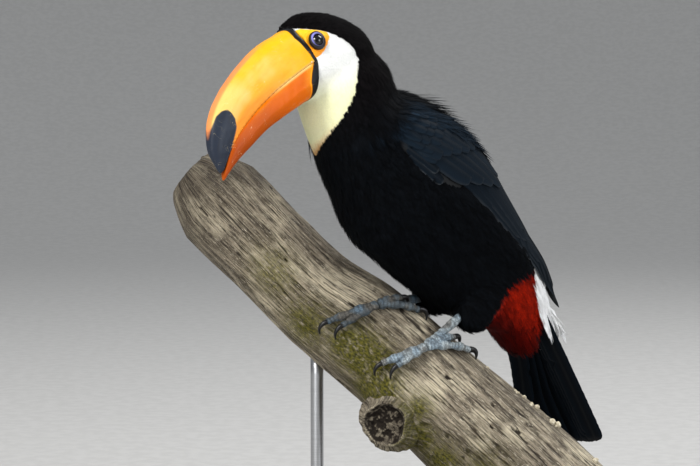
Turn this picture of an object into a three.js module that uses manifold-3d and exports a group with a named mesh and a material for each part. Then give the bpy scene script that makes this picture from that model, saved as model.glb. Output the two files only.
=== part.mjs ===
// A toco toucan (Ramphastos toco) gripping a short cut length of branch, which stands on a plain display stand.
// Millimetres, +Z up. The origin is the middle of the underside of the stand's base.
// The bird has a frame of its own, with x forward, y to its left and z up, and so has its head.
// The branch's frame has x down along the branch and z away from the ground.
import * as THREE from "three";
import { mergeVertices } from "three/addons/utils/BufferGeometryUtils.js";
import Module from "manifold-3d";

const wasm = await Module();
wasm.setup();

// ---- driving dimensions ----

const GAP = 0.3;
const TURN = Math.PI * 2;
const degrees = (angle) => (angle * Math.PI) / 180;

const BIRD = { at: [41, 10, 0], heading: 218 };
const HEAD = { at: [113.9, 0, 446.7], turn: 4, pitch: 12, roll: 13 };
const PERCH = { at: [4, 14, 193], plan: -12, slope: 41, above: -235, below: 207 };
const PERCH_RADIUS = [40, 42, 41, 42, 46, 46, 47, 48.5, 49.5, 49.5];
const PERCH_SAG = [-1, 2, 4.5, 6.5, 2, 0, 0, 0, 0, 0];
// Shallow swells round the branch, and how its broken upper end is worn to a blunt point.
const SWELLS = [{ around: 2, pitch: 70, share: 0.022 }, { around: 3, pitch: -41, share: 0.014 }];
const WORN = { length: 34, least: 0.5 };
const KNOT = { root: [35, -6, -28], end: [33, -60, -33], radius: 18.5 };
const STAND = { width: 300, depth: 190, thickness: 16, corner: 24, bevel: 1.5, rod: 5.5, rodAt: [-62, 78] };

// The body from inside the head to the rump: middle of each ring, then its reach to the back, front and side.
const BODY = [
  { x: 114, z: 446, back: 30, front: 32, side: 27 },
  { x: 107, z: 430, back: 40, front: 41, side: 34 },
  { x: 98, z: 412, back: 43, front: 44, side: 39 },
  { x: 80, z: 388, back: 48, front: 51, side: 47 },
  { x: 54, z: 362, back: 58, front: 61, side: 54 },
  { x: 22, z: 330, back: 60, front: 65, side: 56 },
  { x: -10, z: 298, back: 53, front: 59, side: 52 },
  { x: -42, z: 269, back: 45, front: 49, side: 45 },
  { x: -72, z: 246, back: 35, front: 37, side: 34 },
  { x: -98, z: 227, back: 22, front: 24, side: 24 },
];
const NECK_END = 0.26;
// The loose feathers of the lower breast stand out in front, round one place along the body.
const BREAST = { at: 0.503, spread: 0.05, rise: 6.5 };

// The head's outline in its own frame: from nape to brow, then from throat to chin.
const SKULL = { back: -40, brow: 41, crown: [1, 20.5, 32, 38, 39.5, 34], throat: [-2, -30, -36, -36, -33, -28] };
const SKULL_SIDE = [4, 24, 28, 27.5, 25, 21.5];

// The bill's ridge, mouth line and keel, base to tip, and half its width at the mouth line.
const RIDGE = [[41, 30], [74, 21.5], [110, 2.5], [134, -18], [146, -42], [143.5, -63]];
const MOUTH = [[34, -1], [57, -8], [84, -18], [108, -30.5], [127, -45], [141, -64]];
const LIP = [[34, -1], [57, -8], [84, -18], [108, -30.5], [127, -45], [142, -68]];
const KEEL = [[42, -28.5], [63, -34], [90, -42], [111, -51.5], [129, -60.5], [142.5, -70.5]];
const BILL_SIDE = [21, 18.5, 15, 11.5, 7.5, 1.6];
const BILL_MIDDLE = 0.4;

const EYE = { x: 27, y: 19.1, z: 14, radius: 7.6 };

// The folded wing lies on the body: its middle and half its spread in degrees round from the back.
const WING = { from: 0.31, to: 1.0, lift: 0.9, thick: 6, edge: 1.4, roundRoot: 0.2, roundTip: 0.5 };
const WING_MIDDLE = [80, 72, 66, 58, 46, 32];
const WING_SPREAD = [12, 37, 43, 38, 26, 6];

const TAIL = { root: [-88, 246], tip: [-179, 102], aside: -10, width: 30, spread: 27, thick: 5, arch: 4, twist: -17 };
const RUMP = { root: [-92, 258], tip: [-131, 201], aside: 0, width: 19, spread: 17, thick: 10, arch: 3, twist: -8 };
const VENT = { root: [-68, 236], tip: [-99, 196], aside: -2, width: 25, spread: 20, thick: 40, arch: 0, twist: -8 };

// Legs: hip and ankle in the bird's frame, then the foot's middle and its toe tips on the branch,
// along it and in degrees round from its top. Two toes point forward and two back.
const LEGS = [
  {
    side: "left",
    hip: [-30, 25, 262],
    ankle: [0, 23, 224],
    foot: [15, 50],
    toes: [[8, 82], [-3, 90]],
    heels: [[43, 14], [26, 16]],
  },
  {
    side: "right",
    hip: [-16, -20, 268],
    ankle: [8, -14, 236],
    foot: [-38, 48],
    toes: [[-48, 86], [-60, 92]],
    heels: [[-10, 20], [-28, 24]],
  },
];

const BLACK = 0x0b0e11;
const COLOURS = {
  plumage: BLACK,
  white: 0xf1f0ea,
  red: 0x8c1608,
  billUpper: 0xf4b23c,
  billLower: 0xd9700f,
  eye: 0x0a0a10,
  leg: 0x96a2ad,
  claw: 0x15161a,
  wood: 0x8d8068,
  stand: 0x2c2d30,
  rod: 0x8a8d90,
};

// ---- making shapes ----

// A smooth run through evenly spaced values, read at 0 to 1.
function through(...values) {
  const curve = new THREE.SplineCurve(values.map((value, index) => new THREE.Vector2(index, value)));
  return (t) => curve.getPoint(THREE.MathUtils.clamp(t, 0, 1)).y;
}

// 1 along the middle of a piece, falling to 0 in a quarter circle over a share of its length at each end.
function roundEnds(t, start, end) {
  const quarter = (share) => Math.sqrt(1 - (1 - Math.min(1, Math.max(0, share))) ** 2);
  return (start > 0 ? quarter(t / start) : 1) * (end > 0 ? quarter((1 - t) / end) : 1);
}

// Merges a shape's seams and turns its faces outwards.
function closed(geometry) {
  geometry.deleteAttribute("normal");
  geometry.deleteAttribute("uv");
  const merged = mergeVertices(geometry, 1e-4);
  const at = merged.getAttribute("position");
  const corners = [new THREE.Vector3(), new THREE.Vector3(), new THREE.Vector3()];
  const kept = [];
  let volume = 0;
  for (let first = 0; first < merged.index.count; first += 3) {
    const face = [0, 1, 2].map((step) => merged.index.getX(first + step));
    if (face[0] === face[1] || face[1] === face[2] || face[2] === face[0]) continue;
    face.forEach((vertex, corner) => corners[corner].fromBufferAttribute(at, vertex));
    volume += corners[0].dot(corners[1].clone().cross(corners[2]));
    kept.push(face);
  }
  if (volume < 0) kept.forEach((face) => face.reverse());
  merged.setIndex(kept.flat());
  return merged;
}

// A closed body of rings: place(t, angle, reach) puts each point, t running from one end to the other.
function rings(count, sides, ends, place) {
  const round = ends === "round";
  const source = round
    ? new THREE.SphereGeometry(1, sides, count)
    : new THREE.CylinderGeometry(1, 1, 1, sides, count);
  const at = source.getAttribute("position");
  const point = new THREE.Vector3();
  for (let index = 0; index < at.count; index += 1) {
    point.fromBufferAttribute(at, index);
    const t = round ? Math.acos(THREE.MathUtils.clamp(point.y, -1, 1)) / Math.PI : 0.5 - point.y;
    const across = Math.hypot(point.x, point.z);
    const reach = across < 1e-6 ? 0 : round ? 1 : across;
    const spot = place(t, Math.atan2(point.z, point.x), reach);
    at.setXYZ(index, spot.x, spot.y, spot.z);
  }
  return closed(source);
}

// A closed slab: place(u, v, side) puts each point, u along it, v across it from -1 to 1, side 0 or 1.
function slab(along, across, place) {
  const source = new THREE.BoxGeometry(1, 1, 1, along, across, 1);
  const at = source.getAttribute("position");
  for (let index = 0; index < at.count; index += 1) {
    const spot = place(at.getX(index) + 0.5, at.getY(index) * 2, at.getZ(index) + 0.5);
    at.setXYZ(index, spot.x, spot.y, spot.z);
  }
  return closed(source);
}

// A body of rings in the bird's plane of symmetry, each square to the line through the rings' middles.
function bodyShape(stations) {
  const line = new THREE.CatmullRomCurve3(stations.map(({ x, z }) => new THREE.Vector3(x, 0, z)));
  const reaches = ["back", "front", "side"].map((name) => through(...stations.map((station) => station[name])));
  return (t, angle, lift = 0) => {
    const inside = THREE.MathUtils.clamp(t, 0, 1);
    const along = line.getTangent(inside);
    const middle = line.getPoint(inside).addScaledVector(along, (t - inside) * line.getLength());
    const [back, front, side] = reaches.map((reach) => reach(t) + lift);
    const breast = BREAST.rise * Math.exp(-(((t - BREAST.at) / BREAST.spread) ** 2));
    const outwards = new THREE.Vector3(-along.z, 0, along.x).multiplyScalar(-1);
    const height = Math.cos(angle) * (Math.cos(angle) > 0 ? back : front + breast);
    return middle.addScaledVector(outwards, height).add(new THREE.Vector3(0, Math.sin(angle) * side, 0));
  };
}

// A tube along a curve. size(t) gives its half height and half width, and upwards is the height's direction.
function tube(curve, size, upwards, count, sides) {
  return rings(count, sides, "round", (t, angle, reach) => {
    const along = curve.getTangent(t);
    const sideways = new THREE.Vector3().crossVectors(upwards(t), along).normalize();
    const up = new THREE.Vector3().crossVectors(along, sideways);
    const [height, width] = size(t);
    return curve
      .getPoint(t)
      .addScaledVector(up, Math.cos(angle) * height * reach)
      .addScaledVector(sideways, Math.sin(angle) * width * reach);
  });
}

// ---- joining and cutting ----

function toSolid(geometry, matrix = new THREE.Matrix4()) {
  const moved = closed(geometry.clone().applyMatrix4(matrix));
  return new wasm.Manifold(
    new wasm.Mesh({
      numProp: 3,
      vertProperties: new Float32Array(moved.getAttribute("position").array),
      triVerts: new Uint32Array(moved.index.array),
    }),
  );
}

function toGeometry(solid, matrix = new THREE.Matrix4()) {
  const mesh = solid.getMesh();
  const geometry = new THREE.BufferGeometry();
  geometry.setAttribute("position", new THREE.BufferAttribute(new Float32Array(mesh.vertProperties), 3));
  geometry.setIndex(new THREE.BufferAttribute(new Uint32Array(mesh.triVerts), 1));
  return geometry.applyMatrix4(matrix);
}

// The piece with its neighbours cut away. Neighbours come already a gap larger than they are.
function cut(geometry, ...neighbours) {
  const solid = neighbours.reduce((left, other) => left.subtract(toSolid(other)), toSolid(geometry));
  const largest = solid.decompose().sort((one, other) => other.volume() - one.volume())[0];
  return toGeometry(largest);
}

// ---- frames ----

const bird = new THREE.Group();
bird.position.set(...BIRD.at);
bird.rotation.set(0, 0, degrees(BIRD.heading), "ZYX");

const head = new THREE.Group();
head.position.set(...HEAD.at);
head.rotation.set(degrees(HEAD.roll), degrees(HEAD.pitch), degrees(HEAD.turn), "ZYX");
bird.add(head);

const perch = new THREE.Group();
perch.position.set(...PERCH.at);
perch.rotation.set(0, degrees(PERCH.slope), degrees(PERCH.plan), "ZYX");

const stand = new THREE.Group();

const toucan = new THREE.Group();
toucan.add(bird, perch, stand);
toucan.updateMatrixWorld(true);

// The matrix that takes a point from one group's frame to another's.
const between = (from, to) => to.matrixWorld.clone().invert().multiply(from.matrixWorld);

function addPart(group, name, geometry, color, roughness = 0.8, metalness = 0) {
  const material = new THREE.MeshStandardMaterial({ color, roughness, metalness });
  const part = new THREE.Mesh(geometry, material);
  part.name = name;
  group.add(part);
}

// ---- trunk and neck ----

const body = bodyShape(BODY);
const bodyLength = new THREE.CatmullRomCurve3(BODY.map(({ x, z }) => new THREE.Vector3(x, 0, z))).getLength();

function bodySpan(from, to, count, grow = 0) {
  const middle = (t) => body(t, 0).add(body(t, Math.PI)).multiplyScalar(0.5);
  return rings(count, 22, "flat", (t, angle, reach) => {
    const along = THREE.MathUtils.lerp(from, to, t);
    return middle(along).lerp(body(along, angle, grow), reach);
  });
}

const trunkStart = NECK_END + GAP / bodyLength;
const trunk = bodySpan(trunkStart, 1, 14);
const trunkGrown = bodySpan(trunkStart - GAP / bodyLength, 1 + GAP / bodyLength, 14, GAP);
const neckGrown = bodySpan(-GAP / bodyLength, NECK_END + GAP / bodyLength, 5, GAP);
addPart(bird, "neck", bodySpan(0, NECK_END, 5), COLOURS.plumage);

// ---- head, bill and eyes ----

const planeCurve = (points) => new THREE.CatmullRomCurve3(points.map(([x, z]) => new THREE.Vector3(x, 0, z)));

// One half of the bill between two lines, flat along the mouth and rounded towards its outer line.
function mandible(outer, mouth, boxiness, grow = 0) {
  const [outerLine, mouthLine, halfWidth] = [planeCurve(outer), planeCurve(mouth), through(...BILL_SIDE)];
  return rings(13, 14, "flat", (t, angle, reach) => {
    const [far, near] = [outerLine.getPoint(t), mouthLine.getPoint(t)];
    const rise = far.clone().sub(near);
    const [bottom, top] = [GAP / 2 - grow, rise.length() + grow];
    const up = bottom + Math.max(0, Math.cos(angle)) ** boxiness * (top - bottom);
    const width = Math.sign(Math.sin(angle)) * Math.abs(Math.sin(angle)) ** boxiness * (halfWidth(t) + grow);
    near.addScaledVector(mouthLine.getTangent(t), (2 * t - 1) * grow);
    const centre = near.clone().addScaledVector(rise, BILL_MIDDLE);
    const spot = near.clone().addScaledVector(rise.normalize(), up);
    spot.y = width;
    return centre.lerp(spot, reach);
  });
}

function eyeball(side, grow = 0) {
  return closed(new THREE.SphereGeometry(EYE.radius + grow, 12, 8).translate(EYE.x, side * EYE.y, EYE.z));
}

const UPPER_ROUNDING = 0.72;
const LOWER_ROUNDING = 0.6;
const upperGrown = mandible(RIDGE, MOUTH, UPPER_ROUNDING, GAP);
const billUpper = mandible(RIDGE, MOUTH, UPPER_ROUNDING);
const billLower = cut(mandible(KEEL, LIP, LOWER_ROUNDING), upperGrown);
const neckInHead = neckGrown.clone().applyMatrix4(between(bird, head));

const skull = (() => {
  const [crown, throat, side] = [through(...SKULL.crown), through(...SKULL.throat), through(...SKULL_SIDE)];
  return rings(10, 16, "flat", (t, angle, reach) => {
    const [high, low] = [crown(t), throat(t)];
    const middle = (high + low) / 2;
    const x = THREE.MathUtils.lerp(SKULL.back, SKULL.brow, t);
    const z = middle + Math.cos(angle) * (high - middle) * reach;
    return new THREE.Vector3(x, Math.sin(angle) * side(t) * reach, z);
  });
})();
const lowerGrown = mandible(KEEL, LIP, LOWER_ROUNDING, GAP);
const headCuts = [neckInHead, upperGrown, lowerGrown, eyeball(1, GAP), eyeball(-1, GAP)];
addPart(head, "head", cut(skull, ...headCuts), COLOURS.white);
addPart(head, "bill_upper", billUpper, COLOURS.billUpper, 0.35);
addPart(head, "bill_lower", billLower, COLOURS.billLower, 0.35);
addPart(head, "eye_left", eyeball(1), COLOURS.eye, 0.1);
addPart(head, "eye_right", eyeball(-1), COLOURS.eye, 0.1);

// ---- branch ----

const [perchSize, perchSag] = [through(...PERCH_RADIUS), through(...PERCH_SAG)];
const perchShare = (along) => (along - PERCH.above) / (PERCH.below - PERCH.above);

function perchRadius(along, angle) {
  const swells = SWELLS.map(({ around, pitch, share }) => share * Math.sin(around * angle + along / pitch));
  const swell = swells.reduce((sum, value) => sum + value, 1);
  const kept = Math.sqrt(THREE.MathUtils.clamp((along - PERCH.above) / WORN.length, 0, 1));
  return perchSize(perchShare(along)) * swell * THREE.MathUtils.lerp(WORN.least, 1, kept);
}

// A point on or above the branch, along it and round from its top towards the bird's left side.
function perchPoint(along, round, height = 0) {
  const radius = perchRadius(along, round) + height;
  const middle = -perchSag(perchShare(along));
  return new THREE.Vector3(along, -Math.sin(round) * radius, Math.cos(round) * radius + middle);
}

function branch(grow = 0) {
  return rings(18, 20, "flat", (t, angle, reach) => {
    const along = THREE.MathUtils.lerp(PERCH.above - grow, PERCH.below + grow, t);
    const inside = THREE.MathUtils.clamp(along, PERCH.above, PERCH.below);
    const middle = new THREE.Vector3(inside, 0, -perchSag(perchShare(inside)));
    return middle.lerp(perchPoint(inside, angle, grow), reach).setX(along);
  });
}

function knotStub(grow = 0) {
  const [root, end] = [new THREE.Vector3(...KNOT.root), new THREE.Vector3(...KNOT.end)];
  const direction = end.clone().sub(root).normalize();
  const across = new THREE.Vector3(1, 0, 0).cross(direction).normalize();
  const along = new THREE.Vector3().crossVectors(direction, across);
  return rings(3, 16, "flat", (t, angle, reach) => {
    const radius = (KNOT.radius + grow) * (1 + 0.05 * Math.sin(3 * angle)) * reach;
    return root
      .clone()
      .lerp(end, t)
      .addScaledVector(direction, grow * t)
      .addScaledVector(along, Math.cos(angle) * radius)
      .addScaledVector(across, Math.sin(angle) * radius);
  });
}

const perchShape = toGeometry(toSolid(branch()).add(toSolid(knotStub())));
const perchGrown = toGeometry(toSolid(branch(GAP)).add(toSolid(knotStub(GAP))));
const perchInBird = perchGrown.clone().applyMatrix4(between(perch, bird));
addPart(perch, "perch", perchShape, COLOURS.wood, 0.9);
addPart(bird, "trunk", cut(trunk, perchInBird), COLOURS.plumage);

// ---- wings, tail and coverts ----

function wing(side, grow = 0) {
  const [middle, spread] = [through(...WING_MIDDLE), through(...WING_SPREAD)];
  return slab(14, 6, (u, v, outside) => {
    const angle = degrees(middle(u) + v * spread(u));
    const swell = Math.sqrt(Math.max(0, 1 - v * v)) * roundEnds(u, WING.roundRoot, WING.roundTip);
    const outer = WING.lift + WING.edge + (WING.thick - WING.edge) * swell + grow;
    const share = WING.from + (WING.to - WING.from) * u + ((2 * u - 1) * grow) / bodyLength;
    return body(share, side * angle, outside ? outer : WING.lift - grow);
  });
}

// A bundle of feathers laid flat, root to tip: how narrow its tip is, and how far it thins to its tip and edges.
const BUNDLE = { tip: 0.55, round: 0.08, thinTip: 0.35, thinEdge: 0.8 };

function feathered(shape, along, across, grow = 0) {
  const root = new THREE.Vector3(shape.root[0], shape.aside, shape.root[1]);
  const tip = new THREE.Vector3(shape.tip[0], shape.aside, shape.tip[1]);
  const line = new THREE.LineCurve3(root, tip);
  const direction = tip.clone().sub(root).normalize();
  const above = new THREE.Vector3(direction.z, 0, -direction.x).applyAxisAngle(direction, degrees(shape.twist));
  const sideways = new THREE.Vector3().crossVectors(above, direction);
  return slab(along, across, (u, v, outside) => {
    const rounding = THREE.MathUtils.lerp(BUNDLE.tip, 1, roundEnds(u, 0, BUNDLE.round));
    const half = (THREE.MathUtils.lerp(shape.width, shape.spread, u) + grow) * rounding;
    const thinning = (1 - BUNDLE.thinTip * u) * Math.sqrt(1 - BUNDLE.thinEdge * v * v);
    const thickness = (shape.thick / 2 + grow) * thinning;
    const height = (outside ? thickness : -thickness) - shape.arch * v * v;
    return line.getPoint(u).addScaledVector(above, height).addScaledVector(sideways, v * half);
  });
}

const tail = cut(feathered(TAIL, 9, 6), trunkGrown);
const tailGrown = feathered(TAIL, 9, 6, GAP);
const rump = cut(feathered(RUMP, 6, 6), trunkGrown, tailGrown, wing(1, GAP), wing(-1, GAP));
const vent = cut(feathered(VENT, 6, 6), trunkGrown, tailGrown);
addPart(bird, "wing_left", wing(1), COLOURS.plumage);
addPart(bird, "wing_right", wing(-1), COLOURS.plumage);
addPart(bird, "tail", tail, COLOURS.plumage);
addPart(bird, "uppertail_coverts", rump, COLOURS.white);
addPart(bird, "undertail_coverts", vent, COLOURS.red);

// ---- legs and feet ----

// The shank starts a share of the way up inside the thigh and ends in the ball of the foot.
const SHANK = { radius: 3.6, ball: 5.4, sunk: 0.6, start: 0.25, ballShare: 0.14 };
const THIGH = { top: 25, bottom: 13, drop: 8, roundTop: 0.3, roundBottom: 0.22 };
const TOE = { root: 4.4, tip: 3, hump: 1.6, joints: 3, knuckle: 0.1 };
const CLAW = { from: 0.94, length: 11, root: 2.6, point: 0.3, taper: 0.75, hump: 1.2, curl: 0.4 };
const CLAW_SECTION = { tall: 1.15, wide: 0.85 };
const STOPS = [0, 0.35, 0.7, 1];
const perchToBird = between(perch, bird);
const birdToPerch = between(bird, perch);

LEGS.forEach(({ side, ankle, hip, foot, toes, heels }) => {
  const sole = perchPoint(foot[0], degrees(foot[1]), SHANK.ball - SHANK.sunk).applyMatrix4(perchToBird);
  const ankleAt = new THREE.Vector3(...ankle);
  const hipAt = new THREE.Vector3(...hip);
  const forward = () => new THREE.Vector3(1, 0, 0);

  const thighEnd = ankleAt.clone().add(new THREE.Vector3(-THIGH.drop, 0, -THIGH.drop));
  const thighLine = new THREE.LineCurve3(hipAt, thighEnd);
  const thighSize = (t, grow) => {
    const rounding = roundEnds(t, THIGH.roundTop, THIGH.roundBottom);
    const radius = (THREE.MathUtils.lerp(THIGH.top, THIGH.bottom, t) + grow) * rounding;
    return [radius, radius];
  };
  const thighAt = (grow) => tube(thighLine, (t) => thighSize(t, grow), forward, 8, 12);
  addPart(bird, "thigh_" + side, cut(thighAt(0), trunkGrown, perchInBird), COLOURS.plumage);

  const shankLine = new THREE.LineCurve3(ankleAt.clone().lerp(hipAt, SHANK.start), sole);
  const shankSize = (t, grow) => {
    const ball = Math.exp(-(((1 - t) / SHANK.ballShare) ** 2)) * (SHANK.ball - SHANK.radius);
    const radius = (SHANK.radius + ball + grow) * roundEnds(t, 0.05, 0.08);
    return [radius, radius];
  };
  const shankAt = (grow) => tube(shankLine, (t) => shankSize(t, grow), forward, 9, 8);
  addPart(bird, "tarsus_" + side, cut(shankAt(0), thighAt(GAP), trunkGrown, perchInBird), COLOURS.leg, 0.6);

  const taken = [shankAt(GAP).applyMatrix4(birdToPerch)];
  [...toes, ...heels].forEach((end, index) => {
    const stops = STOPS.map((share) => {
      const [along, round] = [0, 1].map((axis) => THREE.MathUtils.lerp(foot[axis], end[axis], share));
      return perchPoint(along, degrees(round), TOE.root + 2 * GAP + TOE.hump * Math.sin(Math.PI * share));
    });
    const line = new THREE.CatmullRomCurve3(stops);
    const outwards = (t) => line.getPoint(t).setX(0);
    const size = (t, grow) => {
      const knuckle = 1 + TOE.knuckle * Math.cos(TURN * t * TOE.joints);
      const radius = (THREE.MathUtils.lerp(TOE.root, TOE.tip, t) * knuckle + grow) * roundEnds(t, 0.1, 0.12);
      return [radius, radius];
    };
    const name = (index < toes.length ? "front" : "hind") + "_" + side + "_" + ((index % 2) + 1);
    const toeAt = (grow) => tube(line, (t) => size(t, grow), outwards, 10, 8);
    addPart(perch, "toe_" + name, cut(toeAt(0), ...taken), COLOURS.leg, 0.6);
    taken.push(toeAt(GAP));

    const [tip, ahead] = [line.getPoint(CLAW.from), line.getTangent(1)];
    const up = tip.clone().setX(0).normalize();
    const clawStops = STOPS.map((share) => {
      const rise = CLAW.hump * Math.sin(Math.PI * share) - (TOE.tip + CLAW.curl) * share ** 2;
      return tip.clone().addScaledVector(ahead, CLAW.length * share).addScaledVector(up, rise);
    });
    const clawLine = new THREE.CatmullRomCurve3(clawStops);
    const clawSize = (t, grow) => {
      const radius = (CLAW.root * (1 - t) ** CLAW.taper + CLAW.point + grow) * roundEnds(t, 0.05, 0.02);
      return [radius * CLAW_SECTION.tall, radius * CLAW_SECTION.wide];
    };
    const clawAt = (grow) => tube(clawLine, (t) => clawSize(t, grow), () => up, 7, 6);
    addPart(perch, "claw_" + name, cut(clawAt(0), ...taken), COLOURS.claw, 0.3);
    taken.push(clawAt(GAP));
  });
});

// ---- display stand ----

const plate = (() => {
  const [x, y] = [STAND.width / 2 - STAND.corner, STAND.depth / 2 - STAND.corner];
  const outline = new THREE.Shape();
  outline.absarc(x, y, STAND.corner, 0, Math.PI / 2);
  outline.absarc(-x, y, STAND.corner, Math.PI / 2, Math.PI);
  outline.absarc(-x, -y, STAND.corner, Math.PI, Math.PI * 1.5);
  outline.absarc(x, -y, STAND.corner, Math.PI * 1.5, TURN);
  const bevel = STAND.bevel;
  const depth = STAND.thickness - 2 * bevel;
  const edges = { bevelThickness: bevel, bevelSize: bevel, bevelOffset: -bevel, bevelSegments: 1 };
  const extruded = new THREE.ExtrudeGeometry(outline, { depth, curveSegments: 5, ...edges });
  return closed(extruded.translate(0, 0, bevel));
})();
addPart(stand, "stand_base", plate, COLOURS.stand, 0.5);

const perchInStand = perchGrown.clone().applyMatrix4(between(perch, stand));
STAND.rodAt.forEach((x, index) => {
  const axis = new THREE.Vector3(1, 0, 0).transformDirection(perch.matrixWorld);
  const middle = perch.position.clone().addScaledVector(axis, (x - perch.position.x) / axis.x);
  const height = middle.z - STAND.thickness - GAP;
  const rod = new THREE.CylinderGeometry(STAND.rod, STAND.rod, height, 16, 1).rotateX(Math.PI / 2);
  rod.translate(x, middle.y, STAND.thickness + GAP + height / 2);
  addPart(stand, "stand_rod_" + (index + 1), cut(closed(rod), perchInStand), COLOURS.rod, 0.35, 1);
});

export default toucan;
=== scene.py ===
"""A life-size toco toucan gripping a sloping cut branch, which a plain display stand holds up."""

import itertools
from math import cos, exp, pi, radians, sin

import bmesh
import bpy
import numpy as np
from mathutils import Euler, Matrix, Vector
from mathutils.bvhtree import BVHTree


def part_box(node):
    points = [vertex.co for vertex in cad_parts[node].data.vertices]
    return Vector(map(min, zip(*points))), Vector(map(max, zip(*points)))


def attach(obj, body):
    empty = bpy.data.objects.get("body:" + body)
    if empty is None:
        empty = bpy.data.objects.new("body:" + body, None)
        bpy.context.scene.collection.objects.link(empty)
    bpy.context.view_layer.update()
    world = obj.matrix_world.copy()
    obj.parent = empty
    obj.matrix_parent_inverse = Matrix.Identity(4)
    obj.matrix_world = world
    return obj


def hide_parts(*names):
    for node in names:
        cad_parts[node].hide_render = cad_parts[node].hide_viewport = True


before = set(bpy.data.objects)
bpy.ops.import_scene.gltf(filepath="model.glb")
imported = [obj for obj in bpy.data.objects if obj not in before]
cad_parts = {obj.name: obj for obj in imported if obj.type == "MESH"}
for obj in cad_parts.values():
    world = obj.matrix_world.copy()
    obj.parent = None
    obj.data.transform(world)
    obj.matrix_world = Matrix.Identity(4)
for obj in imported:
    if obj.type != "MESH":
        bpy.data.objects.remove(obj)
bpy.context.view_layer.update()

MM = 0.001
SEED = 11
random = np.random.default_rng(SEED)

# ---- frames: the bird, its head and the branch, in millimetres ----


def frame_at(at, turn=0.0, pitch=0.0, roll=0.0):
    """A frame's matrix, in metres: rolled about x, pitched about y, then turned about z."""
    turned = Euler((radians(roll), radians(pitch), radians(turn)), "XYZ").to_matrix().to_4x4()
    return Matrix.Translation(Vector(at) * MM) @ turned


BIRD = frame_at((41, 10, 0), turn=218)
HEAD = BIRD @ frame_at((113.9, 0, 446.7), turn=4, pitch=12, roll=13)
PERCH = frame_at((4, 14, 193), turn=-12, pitch=41)


def to_world(where, points):
    """Points in a frame, in millimetres, as world points in metres."""
    matrix = np.array(where)
    return np.asarray(points, float) * MM @ matrix[:3, :3].T + matrix[:3, 3]


def to_local(where, points):
    """World points in metres, as points in a frame in millimetres."""
    matrix = np.array(where.inverted())
    return (np.asarray(points, float) @ matrix[:3, :3].T + matrix[:3, 3]) / MM


def turn_world(where, directions):
    """Directions in a frame, as world directions."""
    return np.asarray(directions, float) @ np.array(where)[:3, :3].T


# ---- small shapes of arithmetic ----


def lerp(start, end, share):
    return start + (end - start) * share


def smooth(low, high, value):
    """0 below low, 1 above high, and an even S between."""
    share = np.clip((value - low) / (high - low), 0, 1)
    return share * share * (3 - 2 * share)


def bell(value, wide):
    """1 where a value is nothing, falling evenly on both sides over a width."""
    return np.exp(-((value / wide) ** 2))


def unit(vectors):
    return vectors / np.maximum(np.linalg.norm(vectors, axis=-1, keepdims=True), 1e-12)


def full_turn(count):
    """Angles spaced evenly round a circle."""
    return np.linspace(0, 2 * pi, count, endpoint=False)


def through(values, share):
    """A smooth run through evenly spaced values or points, read at shares of 0 to 1."""
    values = np.asarray(values, float)
    padded = np.concatenate([[2 * values[0] - values[1]], values, [2 * values[-1] - values[-2]]])
    place = np.clip(share, 0, 1) * (len(values) - 1)
    first = np.minimum(np.floor(place).astype(int), len(values) - 2)
    t = place - first
    if values.ndim > 1:
        t = t[..., None]
    before, start, end, after = (padded[first + step] for step in range(4))
    bend = 2 * before - 5 * start + 4 * end - after
    cube = 3 * start - before - 3 * end + after
    return 0.5 * (2 * start + (end - before) * t + bend * t**2 + cube * t**3)


def noise(points, seed=0):
    """Smooth noise from -1 to 1 at points whose grid is one unit."""
    points = np.asarray(points, float)
    cell = np.floor(points).astype(np.int64)
    inside = points - cell
    inside = inside * inside * (3 - 2 * inside)
    total = np.zeros(points.shape[:-1])
    for corner in itertools.product((0, 1), repeat=3):
        at = cell + np.array(corner)
        mixed = at[..., 0] * 374761393 + at[..., 1] * 668265263 + at[..., 2] * 362437 + seed * 974634777
        mixed &= 0xFFFFFFFF
        mixed = ((mixed ^ (mixed >> 13)) * 1274126177) & 0xFFFFFFFF
        value = ((mixed ^ (mixed >> 16)) & 0xFFFF) / 32767.5 - 1
        total += value * np.prod(np.where(np.array(corner) == 1, inside, 1 - inside), axis=-1)
    return total


def noise_at(seed, x, y, z=0.0):
    """Smooth noise at places given by their coordinates."""
    return noise(np.stack(np.broadcast_arrays(x, y, z), -1), seed)


def layers(points, seed, octaves=3):
    """Noise with finer noise on it."""
    return sum(noise(np.asarray(points) * 2**step, seed + step) / 2**step for step in range(octaves)) / 1.6


def srgb(*values):
    """A display colour of 0 to 255 as linear light."""
    values = np.array(values, float) / 255
    return np.where(values <= 0.04045, values / 12.92, ((values + 0.055) / 1.055) ** 2.4)


def mix(first, second, share):
    share = np.asarray(share)[..., None]
    return first * (1 - share) + second * share


def painted(base, *coats):
    """A colour with others laid over it in turn, each by its own share."""
    for colour, share in coats:
        base = mix(base, colour, share)
    return base


# ---- meshes ----


def put(name, data):
    """A new object in the scene."""
    item = bpy.data.objects.new(name, data)
    bpy.context.scene.collection.objects.link(item)
    return item


def arrays(mesh):
    """A mesh's points and point normals."""
    points = np.zeros(len(mesh.vertices) * 3)
    normals = np.zeros(len(mesh.vertices) * 3)
    mesh.vertices.foreach_get("co", points)
    mesh.vertices.foreach_get("normal", normals)
    return points.reshape(-1, 3), normals.reshape(-1, 3)


def move_points(mesh, points):
    mesh.vertices.foreach_set("co", points.ravel())
    mesh.update()


def set_tint(mesh, colours):
    """A colour for each of a mesh's points."""
    rgba = np.column_stack([colours, np.ones(len(colours))]).astype(np.float32)
    mesh.color_attributes.new("tint", "FLOAT_COLOR", "POINT").data.foreach_set("color", rgba.ravel())


def set_map(mesh, title, places):
    """A named map, from a place on it for each of a mesh's points."""
    corners = np.zeros(len(mesh.loops), np.int32)
    mesh.loops.foreach_get("vertex_index", corners)
    layer = mesh.uv_layers.new(name=title)
    layer.data.foreach_set("uv", np.asarray(places, np.float32)[corners].ravel())


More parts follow.
